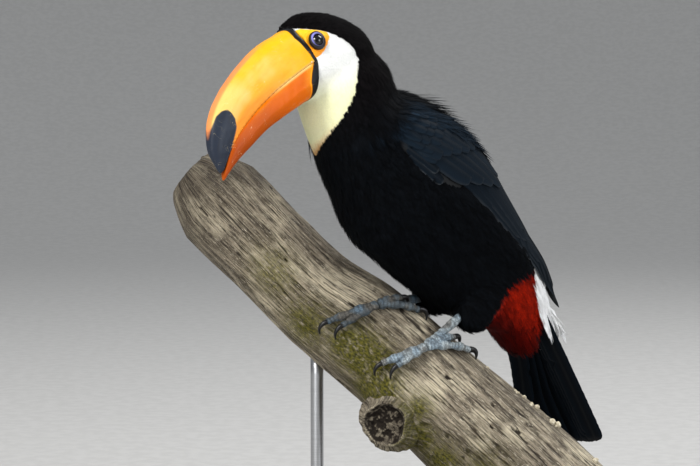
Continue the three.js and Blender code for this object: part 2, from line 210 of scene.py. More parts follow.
def set_numbers(mesh, **values):
    """Numbers for each of a mesh's points, over any already there."""
    for title, numbers in values.items():
        layer = mesh.attributes.get(title) or mesh.attributes.new(title, "FLOAT", "POINT")
        numbers = np.broadcast_to(np.asarray(numbers, np.float32), (len(mesh.vertices),))
        layer.data.foreach_set("value", np.ascontiguousarray(numbers))


def set_vectors(mesh, title, vectors):
    layer = mesh.attributes.get(title) or mesh.attributes.new(title, "FLOAT_VECTOR", "POINT")
    layer.data.foreach_set("vector", np.asarray(vectors, np.float32).ravel())


def vectors_of(mesh, title):
    values = np.zeros(len(mesh.vertices) * 3, np.float32)
    mesh.attributes[title].data.foreach_get("vector", values)
    return values.reshape(-1, 3).astype(float)


def soft_faces(mesh):
    mesh.polygons.foreach_set("use_smooth", [True] * len(mesh.polygons))


def make(name, points, faces, colours=None, **maps):
    """A piece in world metres, with a colour and a place on each named map for each point."""
    mesh = bpy.data.meshes.new(name)
    mesh.from_pydata(np.asarray(points).tolist(), [], [tuple(map(int, face)) for face in faces])
    if colours is not None:
        set_tint(mesh, colours)
    for title, places in maps.items():
        set_map(mesh, title, places)
    soft_faces(mesh)
    return put(name, mesh)


def strip_faces(rows, columns, around=False):
    """The faces of a grid of points, closed round its columns if around is true."""
    row = np.arange(rows - 1)[:, None] * columns
    column = np.arange(columns if around else columns - 1)[None, :]
    following = (column + 1) % columns
    faces = np.stack([row + column, row + following, row + columns + following, row + columns + column], -1)
    return faces.reshape(-1, 4).tolist()


def tube_faces(rows, columns):
    """A grid closed round its columns, with a fan at each end that uses two more points."""
    faces = strip_faces(rows, columns, around=True)
    first, last, end = rows * columns, rows * columns + 1, (rows - 1) * columns
    for column in range(columns):
        following = (column + 1) % columns
        faces.append((first, following, column))
        faces.append((last, end + column, end + following))
    return faces


def capped(grid):
    """A grid's points in one list, with the middle of each end ring after them."""
    ends = [grid[0].mean(axis=0), grid[-1].mean(axis=0)]
    return np.concatenate([grid.reshape(-1, grid.shape[-1]), ends])


def with_ends(values, size=None):
    """A grid's values in one list, with one more for each end's middle point."""
    flat = np.asarray(values, float).reshape((-1, size) if size else -1)
    return np.concatenate([flat, flat[:1], flat[-1:]])


def tube(name, grid, colours=None, **maps):
    """A closed piece from a grid of rings in world metres."""
    maps = {title: with_ends(places, 2) for title, places in maps.items()}
    if colours is not None:
        colours = with_ends(colours, 3)
    return outwards(make(name, capped(grid), tube_faces(*grid.shape[:2]), colours, **maps))


class Heap:
    """Gathers many small shapes into one piece."""

    def __init__(self):
        self.points, self.faces, self.extras, self.count = [], [], {}, 0

    def add(self, points, faces, **extras):
        points = np.asarray(points, float)
        self.points.append(points)
        self.faces += [[corner + self.count for corner in face] for face in faces]
        for title, values in extras.items():
            values = np.asarray(values, float)
            if len(values) != len(points):
                values = np.broadcast_to(values, (len(points),) + values.shape)
            self.extras.setdefault(title, []).append(values)
        self.count += len(points)

    def add_tube(self, grid, **extras):
        self.add(capped(grid), tube_faces(*grid.shape[:2]), **extras)

    def extra(self, title):
        return np.concatenate(self.extras[title])

    def piece(self, name, *maps):
        colours = self.extra("colour") if "colour" in self.extras else None
        places = {title: self.extra(title) for title in maps}
        return make(name, np.concatenate(self.points), self.faces, colours, **places)


def outwards(piece):
    """Turns a closed piece's faces outwards."""
    work = bmesh.new()
    work.from_mesh(piece.data)
    bmesh.ops.recalc_face_normals(work, faces=work.faces)
    work.to_mesh(piece.data)
    work.free()
    return piece


def finish_piece(piece, material, slot_name, *nodes):
    """Gives a piece its finish and its place on the body, and hides the solids it stands for."""
    piece.data.materials.clear()
    piece.data.materials.append(material)
    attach(piece, "root")
    if nodes:
        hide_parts(*nodes)


# ---- finishes ----


class Nodes:
    """Short ways to add nodes to a tree."""

    def __init__(self, tree):
        self.tree = tree

    def join(self, value, socket):
        if isinstance(value, bpy.types.NodeSocket):
            self.tree.links.new(value, socket)
        else:
            socket.default_value = value

    def node(self, kind, inputs=(), **settings):
        made = self.tree.nodes.new(kind)
        for name, value in settings.items():
            setattr(made, name, value)
        for name, value in dict(inputs).items():
            self.join(value, made.inputs[name])
        return made

    def number(self, operation, first, second=0.5):
        return self.node("ShaderNodeMath", {0: first, 1: second}, operation=operation).outputs[0]

    def times(self, first, second):
        return self.number("MULTIPLY", first, second)

    def plus(self, first, second):
        return self.number("ADD", first, second)


class Finish(Nodes):
    """One material: a shader with its own sockets set, and the patterns that feed it."""

    def __init__(self, name, **sockets):
        self.material = bpy.data.materials.new(name)
        self.material.use_nodes = True
        super().__init__(self.material.node_tree)
        self.shader = self.tree.nodes["Principled BSDF"]
        for socket, value in sockets.items():
            self.shader.inputs[socket.replace("_", " ")].default_value = value

    def place(self, scale=(1, 1, 1), title=None):
        """Object coordinates or a named map, stretched by a scale in each direction."""
        if title:
            start = self.node("ShaderNodeUVMap", uv_map=title).outputs[0]
        else:
            start = self.node("ShaderNodeTexCoord").outputs["Object"]
        return self.node("ShaderNodeMapping", {"Vector": start, "Scale": scale}).outputs[0]

    def noise(self, where, scale, detail=4.0, roughness=0.55, distortion=0.0):
        sockets = {"Vector": where, "Scale": scale, "Detail": detail}
        sockets.update({"Roughness": roughness, "Distortion": distortion})
        return self.node("ShaderNodeTexNoise", sockets).outputs["Fac"]

    def cells(self, where, scale, feature="DISTANCE_TO_EDGE"):
        sockets = {"Vector": where, "Scale": scale, "Randomness": 1.0}
        return self.node("ShaderNodeTexVoronoi", sockets, feature=feature).outputs["Distance"]

    def spread(self, value, low, high, to_low=0.0, to_high=1.0):
        sockets = {"Value": value, "From Min": low, "From Max": high, "To Min": to_low, "To Max": to_high}
        return self.node("ShaderNodeMapRange", sockets).outputs[0]

    def vary(self, pattern, low, high):
        """A noise pattern's usual range, spread between two numbers."""
        return self.spread(pattern, 0.3, 0.7, low, high)

    def blend(self, share, first, second, how="MIX"):
        """From one colour to another by a share."""
        made = self.node("ShaderNodeMix", data_type="RGBA", blend_type=how)
        self.join(share, made.inputs[0])
        for value, socket in ((first, made.inputs[6]), (second, made.inputs[7])):
            if not isinstance(value, bpy.types.NodeSocket):
                value = (*value, 1.0)
            self.join(value, socket)
        return made.outputs[2]

    def value_of(self, title, output="Fac"):
        return self.node("ShaderNodeAttribute", attribute_name=title).outputs[output]

    def tinted(self, shade):
        """The piece's own tint, made lighter or darker by a number."""
        made = self.node("ShaderNodeVectorMath", {"Scale": shade}, operation="SCALE")
        self.join(self.value_of("tint", "Color"), made.inputs[0])
        return made.outputs[0]

    def look(self, colour, roughness):
        self.join(colour, self.shader.inputs["Base Color"])
        self.join(roughness, self.shader.inputs["Roughness"])

    def bump(self, height, strength, distance, over=None):
        """Raised detail, a height in millimetres, laid over any bump already made."""
        sockets = {"Height": height, "Strength": strength, "Distance": distance * MM}
        made = self.node("ShaderNodeBump", sockets)
        if over is not None:
            self.tree.links.new(over, made.inputs["Normal"])
        self.tree.links.new(made.outputs[0], self.shader.inputs["Normal"])
        return made.outputs[0]


def plumage_finish(name, darkest, lightest, shine):
    """Soft contour feathers: the markings' tint, shaded between two shares by fine barbs."""
    paint = Finish(name, Specular_IOR_Level=shine, Sheen_Weight=0.01, Sheen_Roughness=0.45)
    streaks = paint.noise(paint.place(), 900, 3)
    paint.look(paint.tinted(paint.vary(streaks, darkest, lightest)), paint.vary(streaks, 0.75, 0.95))
    paint.bump(streaks, 0.3, 0.2)
    return paint.material


def skin_finish():
    """The skin under the feathers, with pebbled and creased bare orange skin round the eye."""
    paint = Finish("bird_skin", Specular_IOR_Level=0.25)
    where, bare = paint.place(), paint.value_of("bare")
    clouds, streaks = paint.noise(where, 170, 4), paint.noise(where, 900, 3)
    shade = paint.spread(bare, 0, 1, paint.vary(streaks, 0.8, 1.1), paint.vary(clouds, 0.86, 1.1))
    paint.look(paint.tinted(shade), paint.spread(bare, 0, 1, 0.65, paint.vary(clouds, 0.4, 0.55)))
    pebbles = paint.bump(paint.times(paint.cells(where, 1000), bare), 0.4, 0.25)
    paint.bump(paint.noise(where, 420, 3), 0.3, 0.25, pebbles)
    return paint.material


def quill_finish():
    """Firm flight feathers and their coverts: barbs at a slant from the shaft."""
    paint = Finish("quills", Specular_IOR_Level=0.04, Sheen_Weight=0.01, Sheen_Roughness=0.5)
    along = paint.node("ShaderNodeSeparateXYZ", {"Vector": paint.place(title="vane")}).outputs
    slant = paint.number("SUBTRACT", along[0], paint.times(paint.number("ABSOLUTE", along[1]), 0.12))
    across = paint.times(along[1], 3.0)
    lines = paint.node("ShaderNodeCombineXYZ", {"X": paint.times(slant, 160.0), "Y": across}).outputs[0]
    barbs = paint.noise(lines, 1.0, 3, 0.6)
    paint.look(paint.tinted(paint.vary(barbs, 0.75, 1.3)), paint.vary(barbs, 0.55, 0.72))
    paint.bump(barbs, 0.35, 0.18)
    return paint.material


def bill_finish():
    """Satin horn: warm clouds, fine lines along it, short curved scratches and shallow pits."""
    paint = Finish("bill_horn", Specular_IOR_Level=0.1, Coat_Weight=0.05, Coat_Roughness=0.3)
    long_lines = paint.noise(paint.place((6, 90, 1), "horn"), 3.0, 5, 0.6)
    clouds = paint.noise(paint.place(title="horn"), 9.0, 4, 0.6)
    nicks = paint.cells(paint.place((60, 40, 60)), 2.2, "F1")
    curls = paint.spread(paint.noise(paint.place(), 130, 1, 0.4, 1.6), 0.495, 0.505)
    ring = paint.times(curls, paint.number("SUBTRACT", 1.0, curls))
    scratch = paint.times(paint.spread(ring, 0.1, 0.25), paint.spread(nicks, 0.5, 0.2))
    base = paint.tinted(paint.vary(long_lines, 0.93, 1.06))
    warm = paint.blend(paint.spread(clouds, 0.5, 0.8, 0.0, 0.3), base, srgb(250, 190, 110), "MULTIPLY")
    horn = paint.blend(paint.times(scratch, 0.6), warm, srgb(255, 236, 190))
    paint.look(horn, paint.vary(clouds, 0.34, 0.5))
    lined = paint.bump(long_lines, 0.25, 0.12)
    scratched = paint.bump(paint.number("SUBTRACT", 1.0, scratch), 0.4, 0.15, lined)
    paint.bump(paint.cells(paint.place(), 700), 0.12, 0.06, scratched)
    return paint.material


def lid_finish():
    """The ring of bare lids, finely pebbled and creased."""
    paint = Finish("lids", Specular_IOR_Level=0.4)
    where = paint.place()
    clouds = paint.noise(where, 160, 4)
    paint.look(paint.tinted(paint.vary(clouds, 0.85, 1.12)), paint.vary(clouds, 0.4, 0.6))
    pebbles = paint.bump(paint.cells(where, 900), 0.5, 0.3)
    paint.bump(paint.noise(where, 420, 3), 0.4, 0.4, pebbles)
    return paint.material


def eye_finish():
    """A wet eyeball, faintly mottled."""
    paint = Finish("eyeball", Specular_IOR_Level=0.35, Coat_Weight=0.4, Coat_Roughness=0.02)
    shade = paint.vary(paint.noise(paint.place(), 1500, 3), 0.7, 1.3)
    paint.look(paint.tinted(shade), paint.spread(shade, 0.7, 1.3, 0.1, 0.2))
    return paint.material


def leg_finish():
    """Scaly blue-grey leg skin, with painted shade in the grooves between scales."""
    paint = Finish("leg_scales", Specular_IOR_Level=0.45)
    where = paint.place()
    scales, clouds = paint.cells(where, 620), paint.noise(where, 210, 4)
    groove = paint.times(paint.spread(scales, 0.0, 0.14, 1.0, 0.0), 0.75)
    # Painted shade in the grooves between the scales.
    skin_colour = paint.blend(groove, paint.tinted(paint.vary(clouds, 0.5, 1.4)), srgb(26, 30, 34))
    paint.look(skin_colour, paint.vary(clouds, 0.4, 0.6))
    paint.bump(paint.spread(scales, 0.0, 0.2), 0.6, 0.35)
    return paint.material


def wood_finish():
    """Weathered bare wood: silver-grey ridges, cracks and hollows darkened with painted shade, worn buff
    grain, and moss where it is marked.
    """
    paint = Finish("weathered_wood", Specular_IOR_Level=0.25)

    def grain(stretch, detail, roughness):
        return paint.noise(paint.place((*stretch, 1), "grain"), 1.0, detail, roughness)

    fine, splits, broad = grain((15, 210), 6, 0.75), grain((11, 120), 6, 0.78), grain((7, 60), 5, 0.6)
    pores, even = grain((70, 420), 4, 0.75), paint.place(title="grain")
    bare = paint.blend(paint.spread(broad, 0.34, 0.66), srgb(54, 46, 37), srgb(160, 148, 128))
    layers_of_grain = (
        (paint.noise(even, 9.0, 4, 0.6), 0.48, 0.6, 0.7, (206, 194, 168)),
        (fine, 0.54, 0.4, 0.94, (36, 29, 22)),
        (splits, 0.44, 0.38, 0.9, (34, 27, 21)),
        (pores, 0.56, 0.66, 0.75, (222, 212, 190)),
        # Painted shade where the wood is not whole: its furrows, pits, cracks, holes and hollows.
        (paint.value_of("ridge"), 0.45, 0.05, 0.94, (28, 21, 16)),
        # Rot, with painted shade in the knot's hollows and grooves.
        (paint.value_of("rot"), 0.0, 1.0, 1.0, (30, 23, 16)),
    )
    for pattern, low, high, most, colour in layers_of_grain:
        bare = paint.blend(paint.spread(pattern, low, high, 0.0, most), bare, srgb(*colour))
    broken = paint.spread(paint.noise(even, 60.0, 5, 0.7), 0.3, 0.5)
    moss_patch = paint.times(paint.value_of("moss"), broken)
    lichen = paint.spread(paint.noise(even, 160.0, 3), 0.35, 0.7)
    green = paint.blend(lichen, srgb(34, 35, 9), srgb(104, 98, 30))
    paint.look(paint.blend(moss_patch, bare, green), paint.vary(fine, 0.92, 0.72))
    furrowed = paint.bump(broad, 0.5, 1.2)
    grained = paint.bump(fine, 0.9, 1.1, furrowed)
    paint.bump(moss_patch, 0.4, 1.0, grained)
    return paint.material


def two_tone_finish(name, pattern, low, high, dark, light, rough, bump, **sockets):
    """A noise pattern that runs from a dark to a light colour, roughens the surface and raises it."""
    paint = Finish(name, **sockets)
    stretch, *settings = pattern
    spots = paint.noise(paint.place(stretch), *settings)
    colour = paint.blend(paint.spread(spots, low, high), srgb(*dark), srgb(*light))
    paint.look(colour, paint.vary(spots, *rough))
    paint.bump(spots, *bump)
    return paint.material


# ---- the bird's form: places on it are a way along its spine and an angle round it from the back ----

SPINE = [
    (114, 446), (107, 430), (98, 412), (80, 388), (54, 362),
    (22, 330), (-10, 298), (-42, 269), (-72, 246), (-98, 227),
]
SPINE_STEPS = 200
spine = through(SPINE, np.linspace(0, 1, SPINE_STEPS))
spine_along = unit(np.gradient(spine, axis=0))
spine_way = np.concatenate([[0], np.cumsum(np.linalg.norm(np.diff(spine, axis=0), axis=1))])
# The lower edge of the white bib, as the way along the spine that it reaches at each angle.
BIB_ANGLE = [62, 75, 84, 95, 104, 112, 125, 139, 151, 162, 172, 180]
BIB_WAY = [-14, 2, 7, 12, 19, 25, 32, 38, 46, 54, 58, 60]
# How far round the neck the bib's tip sits from the middle, in degrees.
BIB_TWIST = 22.0
# The head's own edges in its frame: under the cap, and behind the cheek.
CAP_X = [-8, -6, -3, 4, 13, 22, 30, 33, 36, 39, 45]
CAP_Z = [-10, -6, 1, 9, 16, 21, 24.2, 25.4, 27, 28.3, 29]
CHEEK_Z = [-60, -43, -34, -26, -19, -10, 4, 12]
CHEEK_X = [29, 20, 13, 9, 6, -1, -2, 4]
# Where the bill's base meets the feathers, as x at each z in the head's frame.
BILL_BASE_Z = [-28.5, -1, 5, 11, 17, 22, 26, 30]
BILL_BASE_X = [42, 34, 35.6, 37.6, 39.8, 42.2, 42.0, 41.3]
EYE = {"x": 29.9, "y": 24.6, "z": 13.7}
# The bare skin round the eye: how far it reaches from a middle of its own, at each turn up from forward.
BARE = {"x": 28.0, "z": 14.5}
BARE_TURN = [-180, -156, -118, -92, -72, -50, 0, 35, 54, 70, 106, 137, 162, 180]
BARE_REACH = [11.6, 9.4, 9.0, 11.2, 14.0, 17.0, 20.0, 18.0, 14.6, 12.0, 10.9, 11.2, 11.6, 11.6]
# The lower and upper edge of the folded wing, as the angle at each way along the spine.
WING_WAY = [50, 57, 81, 110, 120, 138, 187, 239, 277, 303, 312]
WING_LOW = [200, 98, 101, 97, 94, 83, 74, 65, 62, 44, 30]
WING_TOP_WAY = [50, 56, 70, 92, 108, 131, 150, 200, 262]
WING_TOP = [180, 72, 62, 52, 45, 36, 26, 12, 8]
# Where the red and the white meet beside the tail, as the angle at each way along the spine.
RUMP_WAY = [265, 271, 284, 308]
RUMP_ANGLE = [66, 74, 79, 93]
# Where the red begins under the bird, as the way at each angle, and where it ends along the tail.
VENT_ANGLE = [66, 75, 90, 115, 140, 180]
VENT_WAY = [254, 250, 241, 237, 244, 258]
VENT_END_ANGLE, VENT_END = [95, 150], [24, 35]
TAIL = {"root": (-88, 246), "tip": (-179, 102), "aside": -10, "twist": -17, "arch": 4}
tail_root, tail_tip = np.array(TAIL["root"], float), np.array(TAIL["tip"], float)
tail_along = unit(tail_tip - tail_root)

PLUMAGE = {
    "black": srgb(5, 7, 10),
    "cap": srgb(8, 6, 7),
    # A slate blue laid over the black plumage as a painted sheen.
    "slate_sheen": srgb(18, 30, 41),
    "white": srgb(243, 243, 240),
    "cream": srgb(251, 249, 204),
    "gold": srgb(206, 148, 78),
    "red": srgb(152, 25, 4),
    "shaded_red": srgb(74, 6, 2),
    "rump": srgb(250, 250, 250),
    "skin": srgb(255, 196, 30),
    "deep_skin": srgb(248, 152, 8),
    # A pale grey for the flight feathers' edge lines: partly worn fringe, partly painted highlight.
    "worn": srgb(74, 78, 82),
}


def on_spine(table, way):
    """A table of points or directions along the spine, read at ways."""
    return np.stack([np.interp(way, spine_way, table[:, axis]) for axis in (0, 1)], -1)


def round_body(points):
    """Way along the spine and angle round it in degrees, of points in the bird's frame."""
    way, angle = np.zeros(len(points)), np.zeros(len(points))
    for start in range(0, len(points), 20000):
        part = slice(start, min(start + 20000, len(points)))
        flat = points[part][:, [0, 2]]
        apart = flat[:, None, :] - spine[None]
        ahead = np.abs((apart * spine_along[None]).sum(-1)) + 0.02 * np.linalg.norm(apart, axis=-1)
        best = ahead.argmin(axis=1)
        along, offset = spine_along[best], flat - spine[best]
        way[part] = spine_way[best]
        height = offset[:, 0] * along[:, 1] - offset[:, 1] * along[:, 0]
        angle[part] = np.degrees(np.arctan2(points[part][:, 1], height))
    return way, angle


def spine_ahead(points):
    """How far points in the bird's frame are in front of the spine's first point."""
    return -((points[:, [0, 2]] - spine[0]) @ spine_along[0])


def to_way(world_points):
    """Way along the spine, less than nothing on the head."""
    bird = to_local(BIRD, world_points)
    ahead = spine_ahead(bird)
    return np.where(ahead > 0, -ahead, round_body(bird)[0])


def from_eye(head):
    """How far places in the head's frame are from the eye's middle, seen from the side."""
    return np.hypot(head[:, 0] - EYE["x"], head[:, 2] - EYE["z"])


def bare_share(world_points):
    """How far places on the head are inside the bare skin round each eye, from 0 to 1."""
    head = to_local(HEAD, world_points)
    across, up = head[:, 0] - BARE["x"], head[:, 2] - BARE["z"]
    reach = np.interp(np.degrees(np.arctan2(up, across)), BARE_TURN, BARE_REACH)
    reach = reach + 0.3 * noise(world_points * 700, 7)
    inside = smooth(0.4, -0.4, np.hypot(across, up) - reach) * smooth(6, 9, np.abs(head[:, 1]))
    return inside * smooth(-0.3, 0.5, np.interp(head[:, 0], CAP_X, CAP_Z) - head[:, 2])


def inside_white(bird, head, way, turned, ragged):
    """How far places are inside the white cheek and bib, in millimetres."""
    from_middle = np.abs((turned - BIB_TWIST * smooth(30, 55, way) + 180) % 360 - 180)
    inside_bib = np.interp(from_middle, BIB_ANGLE, BIB_WAY) - way + ragged
    behind = head[:, 0] + ragged - np.interp(head[:, 2], CHEEK_Z, CHEEK_X)
    inside_cheek = np.minimum(behind, np.interp(head[:, 0], CAP_X, CAP_Z) - head[:, 2] + 0.3 * ragged)
    return np.where(spine_ahead(bird) > -0.5, inside_cheek, inside_bib)


def along_tail(bird):
    """How far places are along the tail from its root, in millimetres."""
    return (bird[:, [0, 2]] - tail_root) @ tail_along


def above_tail(bird):
    """How far places are above the tail's middle plane, in millimetres."""
    return (bird[:, [0, 2]] - tail_root) @ np.array([tail_along[1], -tail_along[0]])


def markings(world_points, pale_too=1.0):
    """The bird's colours at places on it, without its white parts if pale_too is 0, and how bare each is."""
    bird, head = to_local(BIRD, world_points), to_local(HEAD, world_points)
    way, turned = round_body(bird)
    angle = np.abs(turned)
    ragged = 0.8 * noise(world_points * 260, 3) + 0.6 * noise(world_points * 700, 5)
    # Black, browner on the cap, with a painted slate-blue sheen over the shoulder and back.
    slate_sheen = smooth(50, 62, way) * smooth(215, 120, way) * smooth(34, 48, angle)
    slate_sheen = slate_sheen * smooth(0, -6, angle - np.interp(way, WING_WAY, WING_LOW))
    dark = painted(PLUMAGE["black"], (PLUMAGE["cap"], smooth(60, 10, way)), (PLUMAGE["slate_sheen"], 0.8 * slate_sheen))
    # The white cheek and bib, cream lower down, with a gold tip.
    inside = inside_white(bird, head, way, turned, ragged)
    low = smooth(15, 0, inside) * smooth(136, 156, angle) * smooth(32, 50, way)
    cream = smooth(-8, -34, head[:, 2])
    pale = painted(PLUMAGE["white"], (PLUMAGE["cream"], cream), (PLUMAGE["gold"], 0.85 * low))
    # The red vent, painted brightest on its sides as painted light, and dark red as painted shade elsewhere.
    border = np.interp(way, RUMP_WAY, RUMP_ANGLE) + 1.5 * ragged
    down_tail = along_tail(bird) + 2 * ragged
    red = smooth(-1.5, 1.5, way - np.interp(angle, VENT_ANGLE, VENT_WAY) + ragged)
    past_vent = down_tail - np.interp(angle, VENT_END_ANGLE, VENT_END)
    red = red * smooth(-2, 2, angle - border) * smooth(0, -5, past_vent)
    lit = smooth(150, 100, angle) * smooth(62, 84, angle) * smooth(34, 6, down_tail)
    lit = lit * (0.78 + 0.22 * noise(world_points * 120, 9))
    reds = mix(PLUMAGE["shaded_red"], PLUMAGE["red"], lit)
    rump = smooth(-1, 1, way - 263 + ragged) * smooth(2, -2, angle - border)
    rump = rump * smooth(-7, -4, above_tail(bird))
    bare = bare_share(world_points) * (spine_ahead(bird) > -0.5)
    skin = mix(PLUMAGE["skin"], PLUMAGE["deep_skin"], smooth(24, 8, head[:, 2]))
    white = smooth(-0.5, 0.5, inside) * pale_too
    return painted(dark, (pale, white), (reds, red), (PLUMAGE["rump"], rump * pale_too), (skin, bare)), bare


def lie_of_coat(world_points):
    """The way feathers point at places on the bird: back over the head, then along the spine."""
    bird, head = to_local(BIRD, world_points), to_local(HEAD, world_points)
    way = round_body(bird)[0]
    along = on_spine(spine_along, way)
    down_body = np.column_stack([along[:, 0], np.zeros(len(way)), along[:, 1]])
    down_tail = np.array([tail_along[0], 0, tail_along[1]])
    down_body = mix(down_body, down_tail, smooth(225, 285, way))
    over_head = turn_world(HEAD, np.tile([-1.0, 0.0, -0.22], (len(way), 1)))
    share = smooth(-5, 55, head[:, 0] + 0.55 * head[:, 2] + 10) * smooth(-25, 10, spine_ahead(bird))
    return unit(mix(turn_world(BIRD, down_body), over_head, share))


def unwrap(world_points):
    """A place on the skin's flat unwrap for each point: the body on one island, the head on another."""
    bird, head = to_local(BIRD, world_points), to_local(HEAD, world_points)
    way, angle = round_body(bird)
    body_island = np.column_stack([0.01 + 0.72 * way / spine_way[-1], angle / 360 + 0.5])
    turned = np.degrees(np.arctan2(head[:, 1], head[:, 2]))
    head_island = np.column_stack([0.77 + 0.22 * (head[:, 0] + 50) / 100, turned / 360 + 0.5])
    on_head = (spine_ahead(bird) > 0)[:, None]
    return 0.01 + 0.98 * np.clip(np.where(on_head, head_island, body_island), 0, 1)


# ---- skin ----

FLESH = ["head", "neck", "trunk", "wing_left", "wing_right", "thigh_left", "thigh_right"]
FLESH += ["undertail_coverts", "uppertail_coverts"]
SKIN_VOXEL, SKIN_ROUNDS = 2.0, 14
COAT_DEPTH = {"head": 0.7, "body": 2.2}
# The shallow crease where the nape's feathers end over the mantle.
NAPE_CREASE = {"way": 54, "deep": 5.5, "wide": 16}
SOCKET_DEPTH = 2.0
# Round each eye: how far out the skin is cut finer, in how many cuts, and how often it is evened.
EYE_DETAIL = {"reach": 19, "cuts": 3, "rounds": 4}


def apply_modifiers(piece):
    """Puts the piece's evaluated mesh in place of its own mesh and modifiers."""
    graph = bpy.context.evaluated_depsgraph_get()
    mesh = bpy.data.meshes.new_from_object(piece.evaluated_get(graph))
    piece.modifiers.clear()
    piece.data = mesh


def remeshed(nodes, name):
    """The named solids as one closed, softened surface."""
    work = bmesh.new()
    for node in nodes:
        work.from_mesh(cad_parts[node].data)
    bmesh.ops.remove_doubles(work, verts=work.verts, dist=1e-6)
    mesh = bpy.data.meshes.new(name)
    work.to_mesh(mesh)
    work.free()
    piece = put(name, mesh)
    remesh = piece.modifiers.new("remesh", "REMESH")
    remesh.mode, remesh.voxel_size = "VOXEL", SKIN_VOXEL * MM
    soften = piece.modifiers.new("soften", "SMOOTH")
    soften.factor, soften.iterations = 0.5, SKIN_ROUNDS
    apply_modifiers(piece)
    return piece


def refine_round_eyes(piece):
    """Cuts the skin finer round both eyes, and evens it."""
    work = bmesh.new()
    work.from_mesh(piece.data)

    def near_eye(vertex, wide):
        x, y, z = HEAD.inverted() @ vertex.co / MM
        return abs(y) > 9 and (x - BARE["x"]) ** 2 + (z - BARE["z"]) ** 2 < wide**2

    reach = EYE_DETAIL["reach"]
    edges = [edge for edge in work.edges if all(near_eye(vertex, reach) for vertex in edge.verts)]
    bmesh.ops.subdivide_edges(work, edges=edges, cuts=EYE_DETAIL["cuts"], use_grid_fill=True)
    inside = [vertex for vertex in work.verts if near_eye(vertex, reach - 1)]
    for _ in range(EYE_DETAIL["rounds"]):
        every_way = {"use_axis_x": True, "use_axis_y": True, "use_axis_z": True}
        bmesh.ops.smooth_vert(work, verts=inside, factor=0.5, **every_way)
    work.to_mesh(piece.data)
    work.free()


def skin_folds(points):
    """Pebbles and shallow folds of the bare skin round the eyes, in millimetres."""
    head = to_local(HEAD, points)
    out = from_eye(head)
    pebbles = 0.10 * noise(head / 1.1, 13) + 0.06 * noise(head / 0.6, 14)
    folds = 0.16 * np.sin(out * 3.6 + 1.5 * noise(head / 4, 15)) * smooth(7, 8, out) * smooth(13, 9, out)
    return (pebbles + folds) * bare_share(points)


def bird_skin():
    """One skin over all the flesh, inside the solids by the depth of the coat."""
    piece = remeshed(FLESH + ["eye_left", "eye_right"], "skin")
    refine_round_eyes(piece)
    mesh = piece.data
    points, normals = arrays(mesh)
    head = to_local(HEAD, points)
    way, angle = round_body(to_local(BIRD, points))
    crease = bell(way - NAPE_CREASE["way"], NAPE_CREASE["wide"]) * smooth(95, 60, np.abs(angle))
    depth = lerp(COAT_DEPTH["head"], COAT_DEPTH["body"], smooth(0, 70, way)) + NAPE_CREASE["deep"] * crease
    depth = depth + SOCKET_DEPTH * smooth(8, 4, from_eye(head)) * (np.abs(head[:, 1]) > 12)
    move_points(mesh, points - normals * depth[:, None] * MM)
    points, normals = arrays(mesh)
    move_points(mesh, points + normals * skin_folds(points)[:, None] * MM)
    points, normals = arrays(mesh)
    colours, bare = markings(points)
    set_tint(mesh, colours)
    set_numbers(mesh, bare=bare)
    set_vectors(mesh, "lie", lie_of_coat(points))
    set_vectors(mesh, "outward", normals)
    soft_faces(mesh)
    return piece


# ---- coat: small feathers laid over the skin by one node tree ----


def lock_shape(name, barbs, split=0.4, fan=1.1):
    """One small feather, 1 long and 1 wide: a fan of tapering barbs, each point marked with its place."""
    heap = Heap()
    for index in range(barbs):
        side = -1 + 2 * (index + 0.5) / barbs
        tip = 1 - 0.3 * side * side + 0.05 * (index % 2)
        half = 0.62 / barbs
        stack = 0.1 * (index % 2)
        points, places = [], []
        for share, wide in ((0.0, 0.75), (split, 1.0), (lerp(split, 1, 0.55), 0.66)):
            middle = side * lerp(0.34, 0.5 * fan, share)
            for edge in (-1, 1):
                points.append((middle + edge * half * wide, share * tip, 0))
                places.append((share, side + edge * 0.3 / barbs, stack))
        points.append((side * 0.5 * fan, tip, 0))
        places.append((1.0, side, stack))
        heap.add(points, [(0, 1, 3, 2), (2, 3, 5, 4), (4, 5, 6)], place=places)
    piece = heap.piece(name)
    set_vectors(piece.data, "place", heap.extra("place"))
    return piece


COAT_INPUTS = {"Lock": "Object", "Finish": "Material", "Stray": "Float", "Seed": "Int"}
COAT_SIZES = ("Spacing", "Length", "Width", "Bed", "Rise")
COAT_INPUTS.update({title: "Float" for title in COAT_SIZES})
# How much closer than its spacing the scatter tries, how the rise bends, and how far a lock's sides droop.
SCATTER_CROWD, CURL, SIDE_DROOP = 1.5, 1.4, -0.12


class CoatNodes(Nodes):
    """The nodes that geometry needs."""

    def vector(self, operation, first, second=(0, 0, 0), scale=None):
        inputs = {0: first, 1: second} if scale is None else {0: first, "Scale": scale}
        return self.node("ShaderNodeVectorMath", inputs, operation=operation).outputs[0]

    def stored(self, title, kind="FLOAT_VECTOR"):
        return self.node("GeometryNodeInputNamedAttribute", {"Name": title}, data_type=kind).outputs[0]

    def chance(self, low, high, seed):
        made = self.node("FunctionNodeRandomValue", {2: low, 3: high, 8: seed}, data_type="FLOAT")
        return made.outputs[1]

    def store(self, geometry, title, value, kind):
        inputs = {"Geometry": geometry, "Name": title, "Value": value}
        return self.node("GeometryNodeStoreNamedAttribute", inputs, data_type=kind, domain="POINT").outputs[0]

    def nearest(self, mesh, value, place):
        inputs = {"Mesh": mesh, "Value": value, "Sample Position": place}
        return self.node("GeometryNodeSampleNearestSurface", inputs, data_type="FLOAT_VECTOR").outputs[0]


